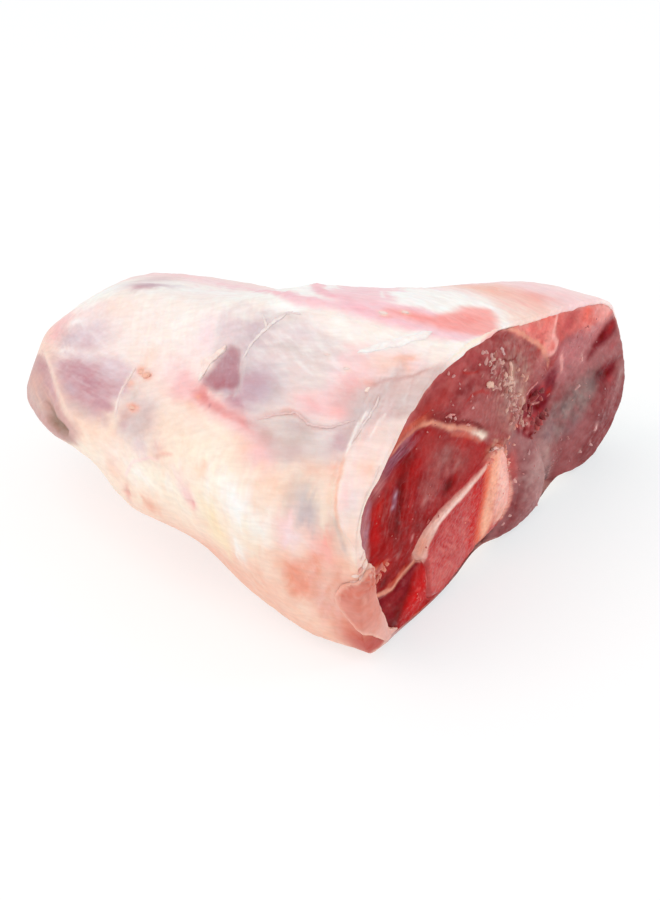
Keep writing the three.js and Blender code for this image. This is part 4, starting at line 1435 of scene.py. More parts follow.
def rimOutline():
    # the cut's outline as an even fan of radii about its middle
    degrees = np.arange(0, 360, 0.5)
    rim = skinPoint3(np.ones(len(degrees)), degrees)[1]
    away = rim[:, 1:] - cutHeart
    turn = np.degrees(np.arctan2(away[:, 1], away[:, 0])) % 360
    order = np.argsort(turn)
    return turn[order], np.linalg.norm(away, axis=1)[order]


def cutHeight(places):
    relief = cutRelief
    height = np.zeros(len(places))
    for y, z, spanY, spanZ, lobe in relief["lobes"]:
        height += lobe * bell(places[:, 0] - y, spanY) * bell(places[:, 1] - z, spanZ)
    for seam, width, line in relief["seams"]:
        away, _ = distanceToLine(places, smoothLine(line))
        height += seam * bell(away, width)
    height += relief["fibreHeight"] * streakNoise(places, relief["fibreSpacing"], relief["fibreTilt"], 71,
                                                  relief["fibreStretch"])
    return height + relief["lumpHeight"] * fractalNoise(flatPoints(places), relief["lumpSize"], 2, 83)


# fine grain laid over the whole cut: spacing, how much lighter or darker, how much pale and dark fleck
cutGrain = {"spacing": 1.9, "shade": 0.14, "paleFleck": (228, 158, 146), "pale": 0.15, "dark": 0.22,
            "deepen": (0.012, 0.021, 0.019), "waveSize": 6.5, "wave": 0.2}


def addGrain(colour, places, grain, seed):
    tilt = cutRelief["fibreTilt"]
    stretch = cutRelief["fibreStretch"]
    wave = streakNoise(places, grain["spacing"], tilt, seed, stretch)
    colour *= (1 + grain["shade"] * np.clip(wave, -1, 1))[:, None]
    broad = streakNoise(places, grain["waveSize"], tilt, seed + 5, stretch)
    colour *= (1 + grain["wave"] * np.clip(broad, -1, 1))[:, None]
    pale = smoothStep(0.15, 0.75, streakNoise(places, grain["spacing"] * 0.8, tilt, seed + 1, stretch))
    pale *= np.clip(3.2 * colour[:, 1] / np.maximum(colour[:, 0], 0.02), 0.08, 1)  # less in the wet reds
    colour += (linear(grain["paleFleck"]) - colour) * (grain["pale"] * pale)[:, None]
    dark = smoothStep(0.15, 0.75, streakNoise(places, grain["spacing"] * 0.9, tilt, seed + 2, stretch))
    colour *= (1 - grain["dark"] * dark)[:, None]
    return np.maximum(colour - np.array(grain["deepen"]), 0.003)


def cutColour(places):
    relief = cutRelief
    wander = relief["wander"] * wandering(flatPoints(places), relief["wanderSize"], 61, 67)
    colour = np.tile(linear(cutTissue["farMuscle"]), (len(places), 1))
    colour = layColours(colour, places + wander, cutLayers, cutTissue)
    return addGrain(colour, places, cutGrain, 301)


def makeSawnFace():
    face = sawnFace
    relief = cutRelief
    turn, radius = rimOutline()
    u, v = np.meshgrid(np.linspace(-1, 1, face["columns"]), np.linspace(-1, 1, face["rows"]))
    discY = (u * np.sqrt(1 - v**2 / 2)).ravel()
    discZ = (v * np.sqrt(1 - u**2 / 2)).ravel()
    discTurn = np.degrees(np.arctan2(discZ, discY)) % 360
    edgeRadius = np.interp(discTurn, turn, radius, period=360)
    way = np.column_stack([np.cos(np.radians(discTurn)), np.sin(np.radians(discTurn))])
    around = flatPoints(30 * way)
    uneven = 1 + face["unevenness"] * fractalNoise(around, 4.5, 3, 89)
    edgeRadius = edgeRadius - roundTable(skinBody["wall"], discTurn) * face["inset"] * uneven
    away = np.hypot(discY, discZ) * edgeRadius
    places = cutHeart + away[:, None] * way
    height = cutHeight(places)
    boneDepth = depthInside(places, smoothLine(boneForm["outline"], closed=True))
    height -= relief["boneSink"] * smoothStep(-0.8, 1.2, boneDepth)
    edge = 1 - np.clip((edgeRadius - away) / relief["edgeWidth"], 0, 1)
    height = height * (1 - 0.5 * edge**2) - relief["edgeRound"] * edge**3
    height = np.maximum(height, -0.6 - 5 * (1 - edge))
    slid = places + height[:, None] * np.array(relief["paintSlide"])
    colours = cutColour(slid)
    flat = flatPoints(places)
    ragged = fractalNoise(flat, 2.2, 3, 91)
    grown = smoothStep(-1.1, 0.1, boneDepth + 0.8 * ragged)[:, None]
    colours = colours * (1 - grown) + boneColour(slid) * grown
    skinned = 0.75 * bell(edgeRadius - away, 0.8 + 0.5 * ragged)
    skinned = skinned * smoothStep(-0.5, 0.4, fractalNoise(flat, 5, 2, 97))
    colours += (linear(cutTissue["membrane"]) - colours) * skinned[:, None]
    front = np.column_stack([cutX(places[:, 0], places[:, 1]) + height, places])
    index = np.arange(len(front)).reshape(face["rows"], face["columns"])
    corners = (index[:-1, :-1], index[:-1, 1:], index[1:, 1:], index[1:, :-1])
    faces = list(zip(*(corner.ravel().tolist() for corner in corners)))
    border = np.concatenate([index[0, :-1], index[:-1, -1], index[-1, :0:-1], index[:0:-1, 0]])
    back = front[border].copy()
    back[:, 1:] = cutHeart + (back[:, 1:] - cutHeart) * face["backShare"]
    back[:, 0] = cutX(back[:, 1], back[:, 2]) - face["thickness"]
    heart = np.array([[cutX(*cutHeart) - face["thickness"], *cutHeart]])
    start = len(front)
    count = len(border)
    for side in range(count):
        after = (side + 1) % count
        faces.append((int(border[side]), start + side, start + after, int(border[after])))
        faces.append((start + side, start + count, start + after))
    allColours = np.vstack([colours, colours[border], colours[:1]])
    return newPiece("sawnMuscle", np.vstack([front, back, heart]), faces, allColours)


muscleLook = {
    "grainScale": 620,
    "grainShade": (0.93, 1.06),
    "fleckScale": 900,
    "fleckStrength": 0.03,
    "fleckColour": (236, 176, 164),
    "roughness": (0.3, 0.5),
    "bump": 0.35,
    "sockets": {
        "Subsurface Weight": 0.1, "Subsurface Radius": (1.0, 0.3, 0.2), "Subsurface Scale": 0.0012,
        "Specular IOR Level": 0.05, "Coat Roughness": 0.12, "IOR": 1.36,
    },
    "wetSpots": 0.2,  # how wet the wettest spots are
}


def muscleFinish():
    look = muscleLook
    finish = newFinish("cutMuscle")
    nodes, links, shader = finish[1:]
    tint = addNode(nodes, "ShaderNodeAttribute", {"attribute_name": "tint"}).outputs["Color"]
    along = ((1, 2.36, 1), (-44.5, 0, 0))
    grain = noiseNode(nodes, links, look["grainScale"], 4, along, 0.6)
    fleck = noiseNode(nodes, links, look["fleckScale"], 2, along, 0.5)
    wet = noiseNode(nodes, links, 330, 3, along, 0.55)
    shade = spread(nodes, links, grain, 0.3, 0.7, *look["grainShade"])
    toned = mixColour(nodes, links, "MULTIPLY", 1.0, tint, shade)
    flecks = spread(nodes, links, fleck, 0.62, 0.76, 0, look["fleckStrength"])
    links.new(spread(nodes, links, wet, 0.56, 0.7, 0, look["wetSpots"]), shader.inputs["Coat Weight"])
    colour = mixColour(nodes, links, "MIX", flecks, toned, linear(look["fleckColour"]))
    return dampSurface(finish, look, colour, fleck, grain)


# the sawn bone: its outline on the cut, then its shaft inside the leg
boneForm = {
    "outline": [(-49, 34), (-44, 39.5), (-36, 42), (-28, 43), (-16, 45), (-5, 49), (0, 48), (3.5, 43),
        (6, 36), (8.5, 28), (9, 20), (6.5, 14), (1, 11), (-8, 9.2), (-18, 6.2), (-26, 3.6), (-32, 2.6),
        (-36.5, 6), (-39, 15), (-41, 24), (-46, 28.5)],
    "stand": 0.9,
    "sides": 420,
    "rings": 110,
    "poreSize": 1.8,
    "poreDepth": 0.45,
    "shaft": [(30, -4, 36, 17), (0, 4, 42, 12), (-35, 9, 42, 11), (-62, 12, 39, 12), (-69, 12, 39, 7)],
}

boneTissue = {
    "marrow": (192, 64, 66),
    "marrowRed": (176, 44, 46),
    "marrowCrimson": (192, 62, 64),
    "marrowPale": (216, 110, 104),
    "boneRed": (200, 24, 22),
    "deepRed": (176, 20, 18),
    "orange": (238, 120, 88),
    "rimPeach": (255, 186, 156),
    "rimPink": (255, 196, 180),
    "edgePink": (244, 176, 166),
    "bandPink": (232, 180, 166),
    "bandWhite": (251, 212, 202),
    "bandTan": (214, 132, 108),
    "bandRose": (226, 152, 144),
    "fringe": (238, 178, 152),
    "lowPink": (212, 108, 102),
    "lowRose": (206, 104, 102),
    "fleck": (232, 140, 130),
}

# layers on the bone, placed like those on the cut
boneLayers = [
    mottle("marrowCrimson", 0.6, 3.4, -22, 25, 22, 22, 0),
    mottle("marrowPale", 0.6, 2.8, -24, 22, 22, 22, 0),
    mottle("marrowRed", 0.5, 2.2, -26, 28, 20, 20, 0),
    streaks("fleck", 0.5, 1.8, -24, 18, 16, 14, -46),
    dab("lowPink", 0.6, -29, 9, 8, 5),
    dab("lowRose", 0.5, -17, 12, 8, 4, 10),
    # these two darker dabs are painted shadow under the pale band
    dab("marrowRed", 0.7, -36, 30, 3.4, 5, -30),
    dab("marrowRed", 0.5, -25, 35, 8, 1.8, 8),
    dab("lowPink", 0.5, -37.5, 14, 1.6, 9, -6),
    area("boneRed", 0.95, 2.4, [(-15, 41), (-9, 43), (-5, 41), (-6, 32), (-7.5, 22), (-8, 13), (-14, 12),
        (-14.5, 20), (-15, 30)]),
    dab("deepRed", 0.95, -11.5, 38.5, 4, 2.2, -22, 1.2),
    mottle("marrowCrimson", 0.5, 2, -12, 26, 5, 14, 0),
    mottle("fleck", 0.35, 1.6, -14, 24, 5, 14, 0),
    area("orange", 0.9, 2.4, [(-7, 44), (-2, 43), (-2, 30), (-4, 20), (-5, 11), (-9, 11), (-9, 20),
        (-7.5, 32)]),
    area("rimPeach", 1, 2, [(-4, 46), (2, 44), (3, 34), (2, 24), (0, 14), (-5, 10), (-6.4, 18),
        (-5.4, 26), (-4.2, 36)]),
    area("rimPink", 0.95, 1.8, [(0, 44), (4, 44), (10, 34), (13, 24), (10, 12), (2, 13), (1, 20),
        (1.6, 28), (0.6, 36)]),
    stroke("edgePink", 0.8, 1.3, 1.6, [(3.6, 43), (5.6, 36), (7.8, 28), (8.6, 21), (7, 16)]),
    mottle("edgePink", 0.5, 2.2, 5, 26, 5, 14, 0),
    mottle("lowPink", 0.5, 1.5, 2, 28, 6, 16, 0),
    mottle("bandWhite", 0.5, 1.5, 4, 26, 5, 14, 0),
    streaks("lowRose", 0.4, 1.2, 0, 28, 5, 16, 84),
    dab("bandTan", 0.6, 3.6, 15, 3.4, 2.4, 30),
    dab("fringe", 0.85, -3, 47, 6, 2.6, -14, 1.1),
    dab("orange", 0.6, -4, 43.6, 3, 1.6, -20),
    mottle("bandRose", 0.6, 1.8, -3, 46, 6, 4, 0),
    area("bandPink", 1, 0.9, [(-8, 44.4), (-14, 43.6), (-20, 42.8), (-26, 42.6), (-32, 42.4), (-38, 41.6),
        (-44, 39.4), (-49, 34.6), (-47, 28), (-42, 24), (-40, 25), (-39.4, 29), (-37, 32.6), (-33, 35.6),
        (-28, 37.2), (-20, 38.4), (-13, 40.4), (-8, 42.2)]),
    stroke("bandWhite", 0.85, 1.2, 0.8, [(-38, 35), (-33, 37), (-27, 38.6), (-20, 39.8), (-14, 41.4)]),
    dab("bandTan", 0.85, -43.5, 32.5, 3.6, 4.2, 0, 1.2),
    stroke("bandRose", 0.6, 1, 0.8, [(-42, 38.6), (-34, 41.4), (-26, 42), (-18, 43), (-9, 44)]),
    dab("bandRose", 0.5, -41, 26, 1.6, 2.2),
]

boneGrain = {"spacing": 1.6, "shade": 0.06, "paleFleck": (244, 180, 166), "pale": 0.12, "dark": 0.1,
             "deepen": (0.01, 0.018, 0.018), "waveSize": 5.0, "wave": 0.06}


def makeBone():
    form = boneForm
    edge = evenOutline(smoothLine(form["outline"], 24, closed=True), form["sides"])
    middle = edge.mean(0)
    shares = np.linspace(0, 1, form["rings"] + 1)[1:] ** 0.85
    places = np.vstack([middle + (edge - middle) * share for share in shares])
    ringShare = np.repeat(shares, form["sides"])
    solid = flatPoints(places)
    pores = fractalNoise(solid, form["poreSize"], 2, 101)
    height = form["stand"] + form["poreDepth"] * np.minimum(pores, 0.25)
    height = height + 0.35 * fractalNoise(solid, 7, 2, 107)
    height += 0.9 * smoothStep(-8, -2, places[:, 0]) * smoothStep(1.0, 0.85, ringShare)
    height -= 1.6 * smoothStep(0.93, 1.0, ringShare)
    slide = np.array(cutRelief["paintSlide"])
    colours = boneColour(places + height[:, None] * slide)
    front = np.column_stack([cutX(places[:, 0], places[:, 1]) + height, places])
    rings = [front]
    startTurn = math.atan2(edge[0, 1] - middle[1], edge[0, 0] - middle[0])
    side = startTurn - 2 * np.pi * np.arange(form["sides"]) / form["sides"]
    for x, y, z, radius in form["shaft"]:
        circle = [np.full(len(side), float(x)), y + radius * np.cos(side), z + radius * np.sin(side)]
        rings.append(np.column_stack(circle))
    allPoints = np.vstack([*rings, [[cutX(*middle) + form["stand"], *middle]], [[-70.0, 12.0, 39.0]]])
    faces = cappedRings(form["rings"] + len(form["shaft"]), form["sides"])
    plain = np.tile(linear(boneTissue["rimPeach"]), (len(allPoints) - len(front), 1))
    return newPiece("sawnBone", allPoints, faces, np.vstack([colours, plain]))


def boneColour(places):
    wander = wandering(flatPoints(places), 3.0, 113, 127)
    colour = np.tile(linear(boneTissue["marrow"]), (len(places), 1))
    colour = layColours(colour, places + 0.6 * wander, boneLayers, boneTissue)
    return addGrain(colour, places, boneGrain, 331)


boneLook = {
    "roughness": (0.3, 0.55),
    "bump": 0.3,
    "sockets": {
        "Subsurface Weight": 0.15, "Subsurface Radius": (1.0, 0.5, 0.35), "Subsurface Scale": 0.0015,
        "Specular IOR Level": 0.16, "Coat Weight": 0.07, "Coat Roughness": 0.2,
    },
}


def boneFinish():
    finish = newFinish("sawnBone")
    nodes, links = finish[1:3]
    tint = addNode(nodes, "ShaderNodeAttribute", {"attribute_name": "tint"}).outputs["Color"]
    pore = noiseNode(nodes, links, 700, 2)
    shade = spread(nodes, links, pore, 0.35, 0.65, 0.93, 1.06)
    toned = mixColour(nodes, links, "MULTIPLY", 1.0, tint, shade)
    return dampSurface(finish, boneLook, toned, pore, pore)


def legSurface(places, lift):
    # points lifted off the skin; places past the skin's edge lie on the rim, that many millimetres in
    length = legForm["length"]
    past = places[:, 0] - length
    along = np.clip(places[:, 0] / length, 0, 1)
    points = skinPoint3(along, places[:, 1])[1]
    inward = cutHeart - points[:, 1:]
    inward /= np.linalg.norm(inward, axis=1, keepdims=True)
    rim = points.copy()
    rim[:, 1:] += inward * np.maximum(past, 0)[:, None]
    rim[:, 0] = cutX(rim[:, 1], rim[:, 2]) + roundTable(skinBody["edge"], places[:, 1])
    rim[:, 0] += rimSwell(np.maximum(past, 0), places[:, 1])
    points[past > 0] = rim[past > 0]
    onRim = smoothStep(-2.0, 2.0, past)[:, None]
    out = outwards(along, places[:, 1]) * (1 - onRim) + cutFacing() * onRim
    out /= np.linalg.norm(out, axis=1, keepdims=True)
    points += out * lift[:, None]
    points[:, 2] = np.maximum(points[:, 2], 0)
    return points


def cutFacing():
    facing = np.array([1, -legForm["cutSlant"], -legForm["cutLean"]])
    return facing / np.linalg.norm(facing)


def cutSurface(places, lift):
    # points lifted off the sawn face, placed like its colours
    slide = np.array(cutRelief["paintSlide"])
    real = places.copy()
    for _ in range(3):
        inBone = depthInside(real, smoothLine(boneForm["outline"], closed=True)) > 0
        height = np.where(inBone, boneForm["stand"], cutHeight(real)) + lift
        real = places - height[:, None] * slide
    return np.column_stack([cutX(real[:, 0], real[:, 1]) + height, real])


def strandMesh(surface, line, startWidth, endWidth, seed, flatness=0.55, sides=8):
    # a knotty thread of fat half sunk in a surface; widths are half its thickness
    path = smoothLine(line, 14)
    share = np.linspace(0, 1, len(path))
    flat = flatPoints(path * 0.9)
    path = path + 0.35 * wandering(flat, 1.8, seed + 40, seed + 43)
    width = startWidth + (endWidth - startWidth) * share
    width = width * (1 + 0.8 * fractalNoise(flat, 1.4, 3, seed))
    width = width * np.sqrt(np.clip(1 - (2 * share - 1) ** 6, 0.02, 1))
    spine = surface(path, 0.1 * width)
    along = np.gradient(spine, axis=0)
    along /= np.maximum(np.linalg.norm(along, axis=1, keepdims=True), 1e-9)
    up = surface(path, 0.1 * width + 1.0) - spine
    up -= along * (up * along).sum(1)[:, None]
    up /= np.maximum(np.linalg.norm(up, axis=1, keepdims=True), 1e-9)
    across = np.cross(along, up)
    turn = 2 * np.pi * np.arange(sides) / sides
    sweep = np.cos(turn)[None, :, None] * across[:, None]
    sweep = sweep + flatness * np.sin(turn)[None, :, None] * up[:, None]
    rings = spine[:, None] + width[:, None, None] * sweep
    return rings.reshape(-1, 3), endedRings(len(path), sides)


def pelletSpots(surface, places, sizes):
    # where each crumb sits and which way its surface faces
    places = np.asarray(places, float)
    sizes = np.asarray(sizes, float)
    middle = surface(places, 0.05 * sizes)
    first = surface(places + np.array([0.2, 0]), 0.05 * sizes) - middle
    up = surface(places, 0.05 * sizes + 1.0) - middle
    up /= np.linalg.norm(up, axis=1, keepdims=True)
    first -= up * (up * first).sum(1)[:, None]
    first /= np.maximum(np.linalg.norm(first, axis=1, keepdims=True), 1e-9)
    return zip(middle, first, up)


def pelletMesh(spot, size, stretch, turn, seed, flatness=0.55, lumpiness=0.6):
    # a lumpy crumb half sunk in a surface
    middle, first, up = spot
    second = np.cross(up, first)
    c = math.cos(math.radians(turn))
    s = math.sin(math.radians(turn))
    lengthwise = (c * first + s * second) * size * stretch
    axes = [lengthwise, (c * second - s * first) * size, up * size * flatness]
    rings = 8
    sides = 12
    downs, turns = np.linspace(0.12, math.pi - 0.12, rings), 2 * np.pi * np.arange(sides) / sides
    down, turn = np.meshgrid(downs, turns, indexing="ij")
    ball = np.stack([np.sin(down) * np.cos(turn), np.sin(down) * np.sin(turn), np.cos(down)], 2)
    ball = ball.reshape(-1, 3)
    ball *= (1 + lumpiness * fractalNoise(ball + 13.7 * seed, 0.9, 2, 5))[:, None]
    return middle + ball @ np.array(axes), endedRings(rings, sides)


def sheetMesh(surface, outline, spine, thickness, ragged, seed, lumpiness=0.22, count=260, rings=26):
    # a torn sheet lying on a surface, its rings shrinking from the outline to a line down its middle
    edge = evenOutline(smoothLine(outline, 40, closed=True), count)
    edge = edge + ragged * wandering(flatPoints(edge), 2.6, seed, seed + 3)
    line = smoothLine(spine, 12)
    heart = line[np.linalg.norm(edge[:, None] - line[None], axis=2).argmin(1)]
    shares = np.concatenate([[0.94, 1.0], 1 - np.linspace(0.004, 1, rings) ** 1.5])
    rises = np.concatenate([[-1.0, 0.1], np.sqrt(1 - np.clip(1 - (1 - shares[2:]) / 0.1, 0, 1) ** 3)])
    places = np.vstack([heart + (edge - heart) * share for share in shares])
    lumps = fractalNoise(flatPoints(places), 3.4, 3, seed + 7)
    lift = np.repeat(rises, count) * thickness * (1 + lumpiness * lumps)
    shape = surface(places, lift)
    inwardness = np.repeat(1 - shares, count)
    return shape, ringFaces(len(shares), count), places, inwardness


def joinParts(name, parts):
    # one mesh out of many small ones, each with its own colours
    points = []
    faces = []
    colours = []
    start = 0
    for partPoints, partFaces, partColours in parts:
        points.append(partPoints)
        colours.append(partColours)
        faces += [tuple(start + i for i in face) for face in partFaces]
        start += len(partPoints)
    return newPiece(name, np.vstack(points), faces, np.vstack(colours))


def fatColour(points, colour, seed, strength=0.14):
    shade = fractalNoise(points, 1.4, 2, seed)
    return linear(colour) * np.exp(-strength * shade[:, None] * np.array([0.3, 1.0, 0.9]))


def addThreads(parts, surface, threads, seed, flatness=0.55, strength=0.14):
    # strength is how much lighter and darker the fat's colour gets
    for i, (shade, startWidth, endWidth, line) in enumerate(threads):
        points, faces = strandMesh(surface, line, startWidth, endWidth, seed + i, flatness)
        parts.append((points, faces, fatColour(points, shade, seed + 20 + i, strength)))


def addLumps(parts, surface, lumps, seed, colourSeed, flatness, lumpiness, strength):
    spots = pelletSpots(surface, [lump[1] for lump in lumps], [lump[2] for lump in lumps])
    for i, (spot, (shade, _, size, stretch, turn)) in enumerate(zip(spots, lumps)):
        points, faces = pelletMesh(spot, size, stretch, turn, seed + i, flatness, lumpiness)
        parts.append((points, faces, fatColour(points, shade, colourSeed + i, strength)))


# the flap of fat that hangs over the low corner of the cut, placed like the skin's patches
flapForm = {
    "outline": [(178.4, 218), (181.2, 214), (183, 208), (182.8, 202), (181.2, 197), (180, 192),
        (179.2, 187), (179.2, 182), (179.6, 178), (178.8, 175.6), (176.6, 174.6), (174.4, 175),
        (173, 176.4), (171, 178.4), (167.4, 180.6), (164.8, 183.4), (163, 186.6), (163.4, 189),
        (166, 192.6), (169.4, 196.2), (172.4, 199.6), (175, 203.2), (177, 207.2), (178, 211.4),
        (178.2, 215)],
    "spine": [(176.4, 177), (175.4, 181), (173.6, 185.4), (174, 190.4), (176.4, 196.4), (178.8, 202.4),
        (180.2, 208.4), (179.6, 213.8)],
    "thickness": 1.3,
    "ragged": 0.35,
    # its torn top, before this many degrees round, is lumpier
    "tornFrom": 186,
    "tornHeight": 1.8,
    "colours": {
        "face": (224, 142, 124), "deep": (210, 112, 94), "warm": (214, 116, 96), "edge": (250, 198, 178),
        "pale": (244, 204, 194), "crease": (190, 90, 78),
    },
    # lumps at its torn top: colour, middle, half width, how drawn out, turn
    "lumps": [
        ((240, 190, 174), (175.8, 175.4), 1.5, 1.5, 60), ((230, 166, 148), (177.6, 178), 1.2, 1.7, 90),
        ((238, 188, 176), (173.2, 177), 1.2, 1.5, 40), ((246, 206, 194), (174.8, 172.8), 1.1, 1.8, 80),
        ((226, 158, 146), (173, 174.2), 0.9, 1.6, 60), ((236, 184, 172), (170.6, 179.2), 1.1, 1.9, 30),
        ((224, 152, 140), (174.6, 179.6), 1.0, 1.4, 60), ((240, 194, 182), (168, 181.4), 0.8, 1.8, 30),
        ((244, 204, 194), (171, 176.4), 0.8, 1.7, 30), ((246, 210, 200), (174.2, 169.6), 0.8, 2.2, 85),
    ],
}


def makeFlap(name):
    form = flapForm
    sheet = [form[key] for key in ("outline", "spine", "thickness", "ragged")]
    shape, faces, places, inwardness = sheetMesh(legSurface, *sheet, 501)
    paint = {key: linear(value) for key, value in form["colours"].items()}
    flat = flatPoints(places)
    torn = smoothStep(form["tornFrom"], form["tornFrom"] - 7, places[:, 1])
    lumps = fractalNoise(flat, 2.4, 3, 507)
    inside = smoothStep(0, 0.12, inwardness)
    lift = form["tornHeight"] * torn * inside * lumps
    shape += lift[:, None] * (cutFacing() + np.array([0, -0.4, 0.2]))
    colour = np.tile(paint["face"], (len(places), 1))
    for cover, key in ((smoothStep(-0.4, 0.7, fractalNoise(flat, 5, 3, 511)) * 0.6, "deep"),
                       (smoothStep(192, 180, places[:, 1]) * 0.8, "warm"),
                       (smoothStep(0.2, 0.6, fractalNoise(flat, 3.4, 2, 519)) * torn * 0.8, "pale"),
                       # painted shade in the dips between the torn top's lumps
                       (smoothStep(-0.1, -0.5, lumps) * torn * 0.6, "crease"),
                       (smoothStep(194, 206, places[:, 1]) * 0.4, "pale"),
                       (smoothStep(0.3, 0.03, inwardness) * 0.6, "edge"),
                       (smoothStep(0.2, 0.7, streakNoise(places, 1.6, 100, 517, 4)) * 0.3, "edge")):
        colour += (paint[key] - colour) * cover[:, None]
    parts = [(shape, faces, colour)]
    addLumps(parts, legSurface, form["lumps"], 540, 550, flatness=0.6, lumpiness=0.3, strength=0.3)
    return joinParts(name, parts)


# shreds of fat and membrane on the skin, placed like its patches
shredForm = {
    # colour, half width at each end, points
    "threads": [
        ((246, 226, 222), 0.8, 0.5, [(113, 113), (109.6, 116.6), (107, 120), (105, 123), (103, 127),
            (102.2, 130)]),
        ((248, 226, 220), 0.5, 0.4, [(107, 120), (104.6, 117.6), (102, 115.6)]),
        ((240, 200, 196), 0.35, 0.5, [(119, 146.2), (124, 144), (128, 142.4), (132, 141.2), (136, 141.8),
            (140, 142.6), (146, 142), (151, 140.4), (155, 138.4)]),
        ((244, 222, 220), 0.45, 0.3, [(108, 116.4), (112, 114.4), (117, 113.6)]),
        ((242, 214, 208), 0.5, 0.3, [(158.6, 131), (159.6, 135.6), (158.8, 140), (158.4, 144)]),
        ((250, 220, 212), 0.45, 0.3, [(58, 141.8), (57.3, 146), (56.2, 150), (56.6, 154), (57.6, 158.5)]),
        ((250, 216, 206), 0.4, 0.3, [(171, 146.6), (171.6, 150.4), (171.2, 154)]),
    ],
    # colour, middle, half width, how drawn out, turn
    "beads": [
        ((255, 222, 214), (142.4, 107.4), 0.8, 2.0, 8),
        ((255, 220, 212), (148, 104.6), 0.65, 1.8, 4),
        ((255, 226, 214), (153.5, 130), 0.8, 1.4, 40),
        ((248, 190, 170), (60.5, 142.6), 0.9, 1.5, 0),
        ((248, 186, 164), (64.6, 143.6), 1.0, 1.8, 10),
        ((246, 188, 166), (64, 154.4), 0.7, 2.6, 0),
        ((252, 222, 216), (133, 123.4), 0.35, 2.4, 10),
        ((252, 222, 216), (142, 126), 0.45, 2.2, 8),
    ],
    # colour, thickness, outline, line down the middle
    "sheets": [
        ((252, 226, 218), 0.5, [(93, 127.5), (90, 131), (86, 133.5), (85, 134.5), (87, 137), (87.6, 141),
            (89, 138), (90.5, 134), (93, 130)], [(91.6, 130), (89, 133), (87.6, 135.4), (88, 138.6)]),
        ((253, 242, 238), 0.16, [(160.4, 108.8), (156.4, 111.2), (152.6, 114), (148, 117), (142.6, 121),
            (147, 120), (152.6, 117.6), (155, 116.8), (157.4, 114.2), (160, 112)], [(158, 111.2),
            (154.6, 113.8), (150, 116.8), (146, 119.6)]),
    ],
}


def makeShreds(name):
    form = shredForm
    parts = []
    addThreads(parts, legSurface, form["threads"], 560, flatness=0.4)
    addLumps(parts, legSurface, form["beads"], 600, 620, flatness=0.5, lumpiness=0.6, strength=0.14)
    for seed, (shade, thickness, outline, spine) in enumerate(form["sheets"]):
        sheet = sheetMesh(legSurface, outline, spine, thickness, 0.7, 640 + seed, 0.6, 140, 10)
        points, faces = sheet[:2]
        parts.append((points, faces, fatColour(points, shade, 650 + seed)))
    return joinParts(name, parts)


